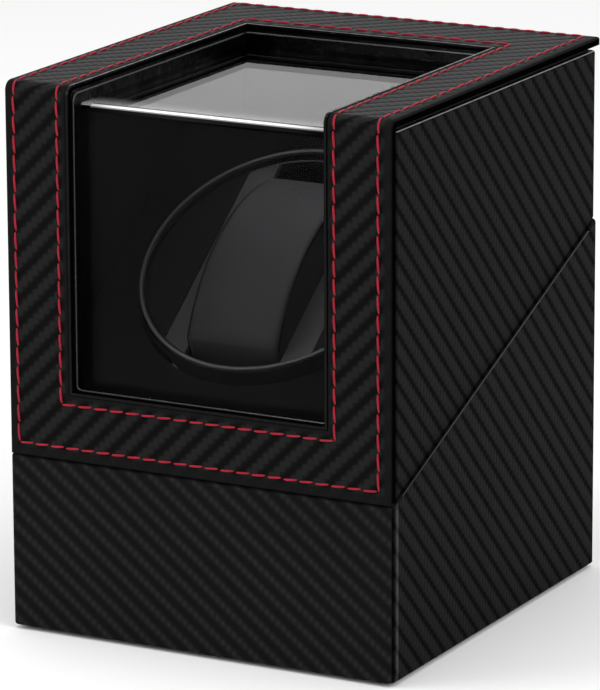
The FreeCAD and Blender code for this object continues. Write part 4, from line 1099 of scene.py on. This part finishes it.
def pillow_ring(x, inset):
    """The pillow's outline at x, drawn in by inset, in the drum's directions."""
    end, top, shoulder = PILLOW_END - inset, PILLOW_TOP - inset, PILLOW_SHOULDER - inset
    haunch, bottom = PILLOW_HAUNCH + inset, PILLOW_BOTTOM + inset
    middle = (shoulder + haunch) / 2
    arcs = [
        ((-end, shoulder), (0, top), (end, shoulder)),
        ((end, shoulder), (end + PILLOW_BULGE, middle), (end, haunch)),
        ((end, haunch), (0, bottom), (-end, haunch)),
        ((-end, haunch), (-end - PILLOW_BULGE, middle), (-end, shoulder)),
    ]
    points = [spot for arc in arcs for spot in arc_through(*arc, ARC_POINTS)]
    return [
        DRUM_CENTRE + Vector((x, 0, 0)) + DRUM_SLOPE * (slope + PILLOW_SHIFT) + DRUM_AXIS * lift
        for slope, lift in points
    ]


def pillow_body(bm):
    """The pillow's outline at places across it, drawn in towards the side seams."""
    inner = [(share / 10, 0.0) for share in range(7, -8, -1)]
    stations = PILLOW_SEAM + inner + [(-share, inset) for share, inset in reversed(PILLOW_SEAM)]
    loft(bm, [pillow_ring(-PILLOW_HALF * share, inset * MM) for share, inset in stations])


def piping(bm):
    """A cord along each side seam."""
    for side in (-1, 1):
        seam = pillow_ring(side * PILLOW_HALF * PIPING_PLACE, PIPING_INSET)
        tube(bm, seam, PIPING_RADIUS, sides=8)


# Filling of the pillow: pressure inside the cover, held at the seams and the underside
FILL_FRAMES = 20
FILL_PRESSURE = 4.0
COVER_MASS = 0.0004
FILL_LIMIT = 0.7 * MM
NO_SHIFT = 1e-9
HELD_BELOW = -12.0 * MM
HELD_BEYOND = 0.93


def held_points(item):
    """Name of a vertex group with the points that stay where they are."""
    held = item.vertex_groups.new(name="held")
    for vertex in item.data.vertices:
        low = (vertex.co - DRUM_CENTRE).dot(DRUM_AXIS) < HELD_BELOW
        if low or abs(vertex.co.x) > PILLOW_HALF * HELD_BEYOND:
            held.add([vertex.index], 1.0, "REPLACE")
    return held.name


def fill(item):
    """Blow the cover up with a short cloth simulation, and keep the result up to a limit."""
    scene = bpy.context.scene
    vertices = item.data.vertices
    rest = [vertex.co.copy() for vertex in vertices]
    held = held_points(item)
    cloth = item.modifiers.new("filling", "CLOTH")
    settings = cloth.settings
    settings.vertex_group_mass = held
    settings.mass = COVER_MASS
    settings.use_pressure = True
    settings.uniform_pressure_force = FILL_PRESSURE
    settings.effector_weights.gravity = 0
    cloth.point_cache.frame_start = 1
    cloth.point_cache.frame_end = FILL_FRAMES
    for number in range(1, FILL_FRAMES + 1):
        scene.frame_set(number)
    filled = item.evaluated_get(bpy.context.evaluated_depsgraph_get())
    moved = [vertex.co.copy() for vertex in filled.data.vertices]
    item.modifiers.remove(cloth)
    scene.frame_set(1)
    for vertex, start, end in zip(vertices, rest, moved):
        shift = end - start
        vertex.co = start + shift * min(1, FILL_LIMIT / max(shift.length, NO_SHIFT))
    item.vertex_groups.clear()
    item.data.update()


def watch_pillow(satin):
    """The filled cover, in place of the plain form, and its piping."""
    body = piece("watch_pillow_cover", pillow_body, satin, "pillow")
    fill(body)
    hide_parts("watch_pillow")
    piece("watch_pillow_piping", piping, piping_black(), "pillow")


# Stage, light and camera; lamps are name, place, what they face, width and height, watts
FLOOR_SIZE = 6.0
AMBIENT = 0.72
BOX_MIDDLE = (0, 0, 0.09)
BOX_TOP = (0, 0, 0.165)
LAMPS = [
    ("overhead_panel", (-0.1, -0.1, 1.4), BOX_MIDDLE, (1.3, 1.3), 7),
    ("right_softbox", (1.2, -0.35, 0.75), BOX_MIDDLE, (0.6, 0.8), 8),
    ("back_panel", (-0.75, 1.5, 0.55), BOX_TOP, (1.6, 0.9), 1.4),
    ("left_softbox", (-1.1, -0.9, 0.7), BOX_MIDDLE, (0.7, 0.7), 8),
]
CAMERA_PLACE = Vector((0.7030, -1.32175, 0.4628))
CAMERA_TARGET = Vector((-0.0027, -0.00215, 0.0778))
CAMERA_ROLL = math.radians(-0.26)
CAMERA_LENS = 270.8
SENSOR_WIDTH = 36
CAMERA_REACH = 20


def make_stage():
    """A plain pale floor."""
    floor = mesh_from("floor", lambda bm: bmesh.ops.create_grid(bm, size=FLOOR_SIZE), smooth=False)
    item = bpy.data.objects.new("floor", floor)
    bpy.context.scene.collection.objects.link(item)
    finish = Finish("pale_floor", Roughness=0.9, Specular_IOR_Level=0.1)
    finish.colour(finish.noise(0.002), (0.3, grey(0.88)), (0.7, grey(0.91)))
    floor.materials.append(finish.material)


def make_world():
    """White where it is seen, mirrored or seen through, and dimmer as a light."""
    world = bpy.data.worlds.new("studio")
    bpy.context.scene.world = world
    world.use_nodes = True
    nodes, links = world.node_tree.nodes, world.node_tree.links
    path = nodes.new("ShaderNodeLightPath")
    camera, glossy, through = (
        Field(world.node_tree, path.outputs[name])
        for name in ("Is Camera Ray", "Is Glossy Ray", "Is Transmission Ray")
    )
    seen = camera.apply("MAXIMUM", glossy).apply("MAXIMUM", through)
    level = AMBIENT + (1 - AMBIENT) * seen
    background = nodes["Background"]
    background.inputs["Color"].default_value = (1, 1, 1, 1)
    links.new(level.socket, background.inputs["Strength"])


def lamp(name, place, target, size, power):
    """A rectangular soft lamp."""
    data = bpy.data.lights.new(name, "AREA")
    data.shape = "RECTANGLE"
    data.size, data.size_y = size
    data.energy = power
    item = bpy.data.objects.new(name, data)
    bpy.context.scene.collection.objects.link(item)
    item.location = place
    item.rotation_euler = (Vector(target) - Vector(place)).to_track_quat("-Z", "Y").to_euler()


def make_camera():
    """A long lens to the right of the front and a little above."""
    data = bpy.data.cameras.new("camera")
    data.sensor_width = SENSOR_WIDTH
    data.lens = CAMERA_LENS
    data.clip_end = CAMERA_REACH
    item = bpy.data.objects.new("camera", data)
    bpy.context.scene.collection.objects.link(item)
    facing = (CAMERA_TARGET - CAMERA_PLACE).to_track_quat("-Z", "Y").to_matrix()
    rolled = facing @ Matrix.Rotation(CAMERA_ROLL, 3, "Z")
    item.matrix_world = Matrix.Translation(CAMERA_PLACE) @ rolled.to_4x4()
    bpy.context.scene.camera = item


def main():
    """Dress the CAD nodes, add the pieces that ride on them, and set the stage."""
    finishes = dress_nodes()
    piece("red_stitching", stitch_rows, thread_red(), "lid")
    # Dull black coat: painted shade on the cover's side edges, and the outer bead's colour
    paint = dull_black_coat()
    piece("cover_edge_shade", painted_edges, paint, "lid", smooth=False)
    opening_bead("window_bead_outer", OUTER_BEAD, paint)
    opening_bead("window_bead_inner", INNER_BEAD, bead_gloss())
    # Pale beads: painted highlights on the board edges and on the drum's raised line
    lid_edge = edge_gloss("lid_edge_highlight", LID_EDGE_HIGHLIGHT)
    base_edge = edge_gloss("base_edge_highlight", BASE_EDGE_HIGHLIGHT)
    piece("lid_edge_highlights", lid_edges, lid_edge, "lid")
    piece("base_edge_highlights", base_edges, base_edge, "base")
    piece("rim_felt", rim_felt, finishes["lining"], "base", smooth=False)
    controls(finishes["case"])
    hinge_screws(finishes["hinge"])
    piece("pane_bend_line", bend_highlight, bend_highlight_paint(), "lid")
    piece("rim_inner_bead", rim_arc, base_edge, "drum")
    watch_pillow(finishes["pillow"])
    make_stage()
    make_world()
    for row in LAMPS:
        lamp(*row)
    make_camera()
    bpy.context.scene.view_settings.view_transform = "Standard"


main()
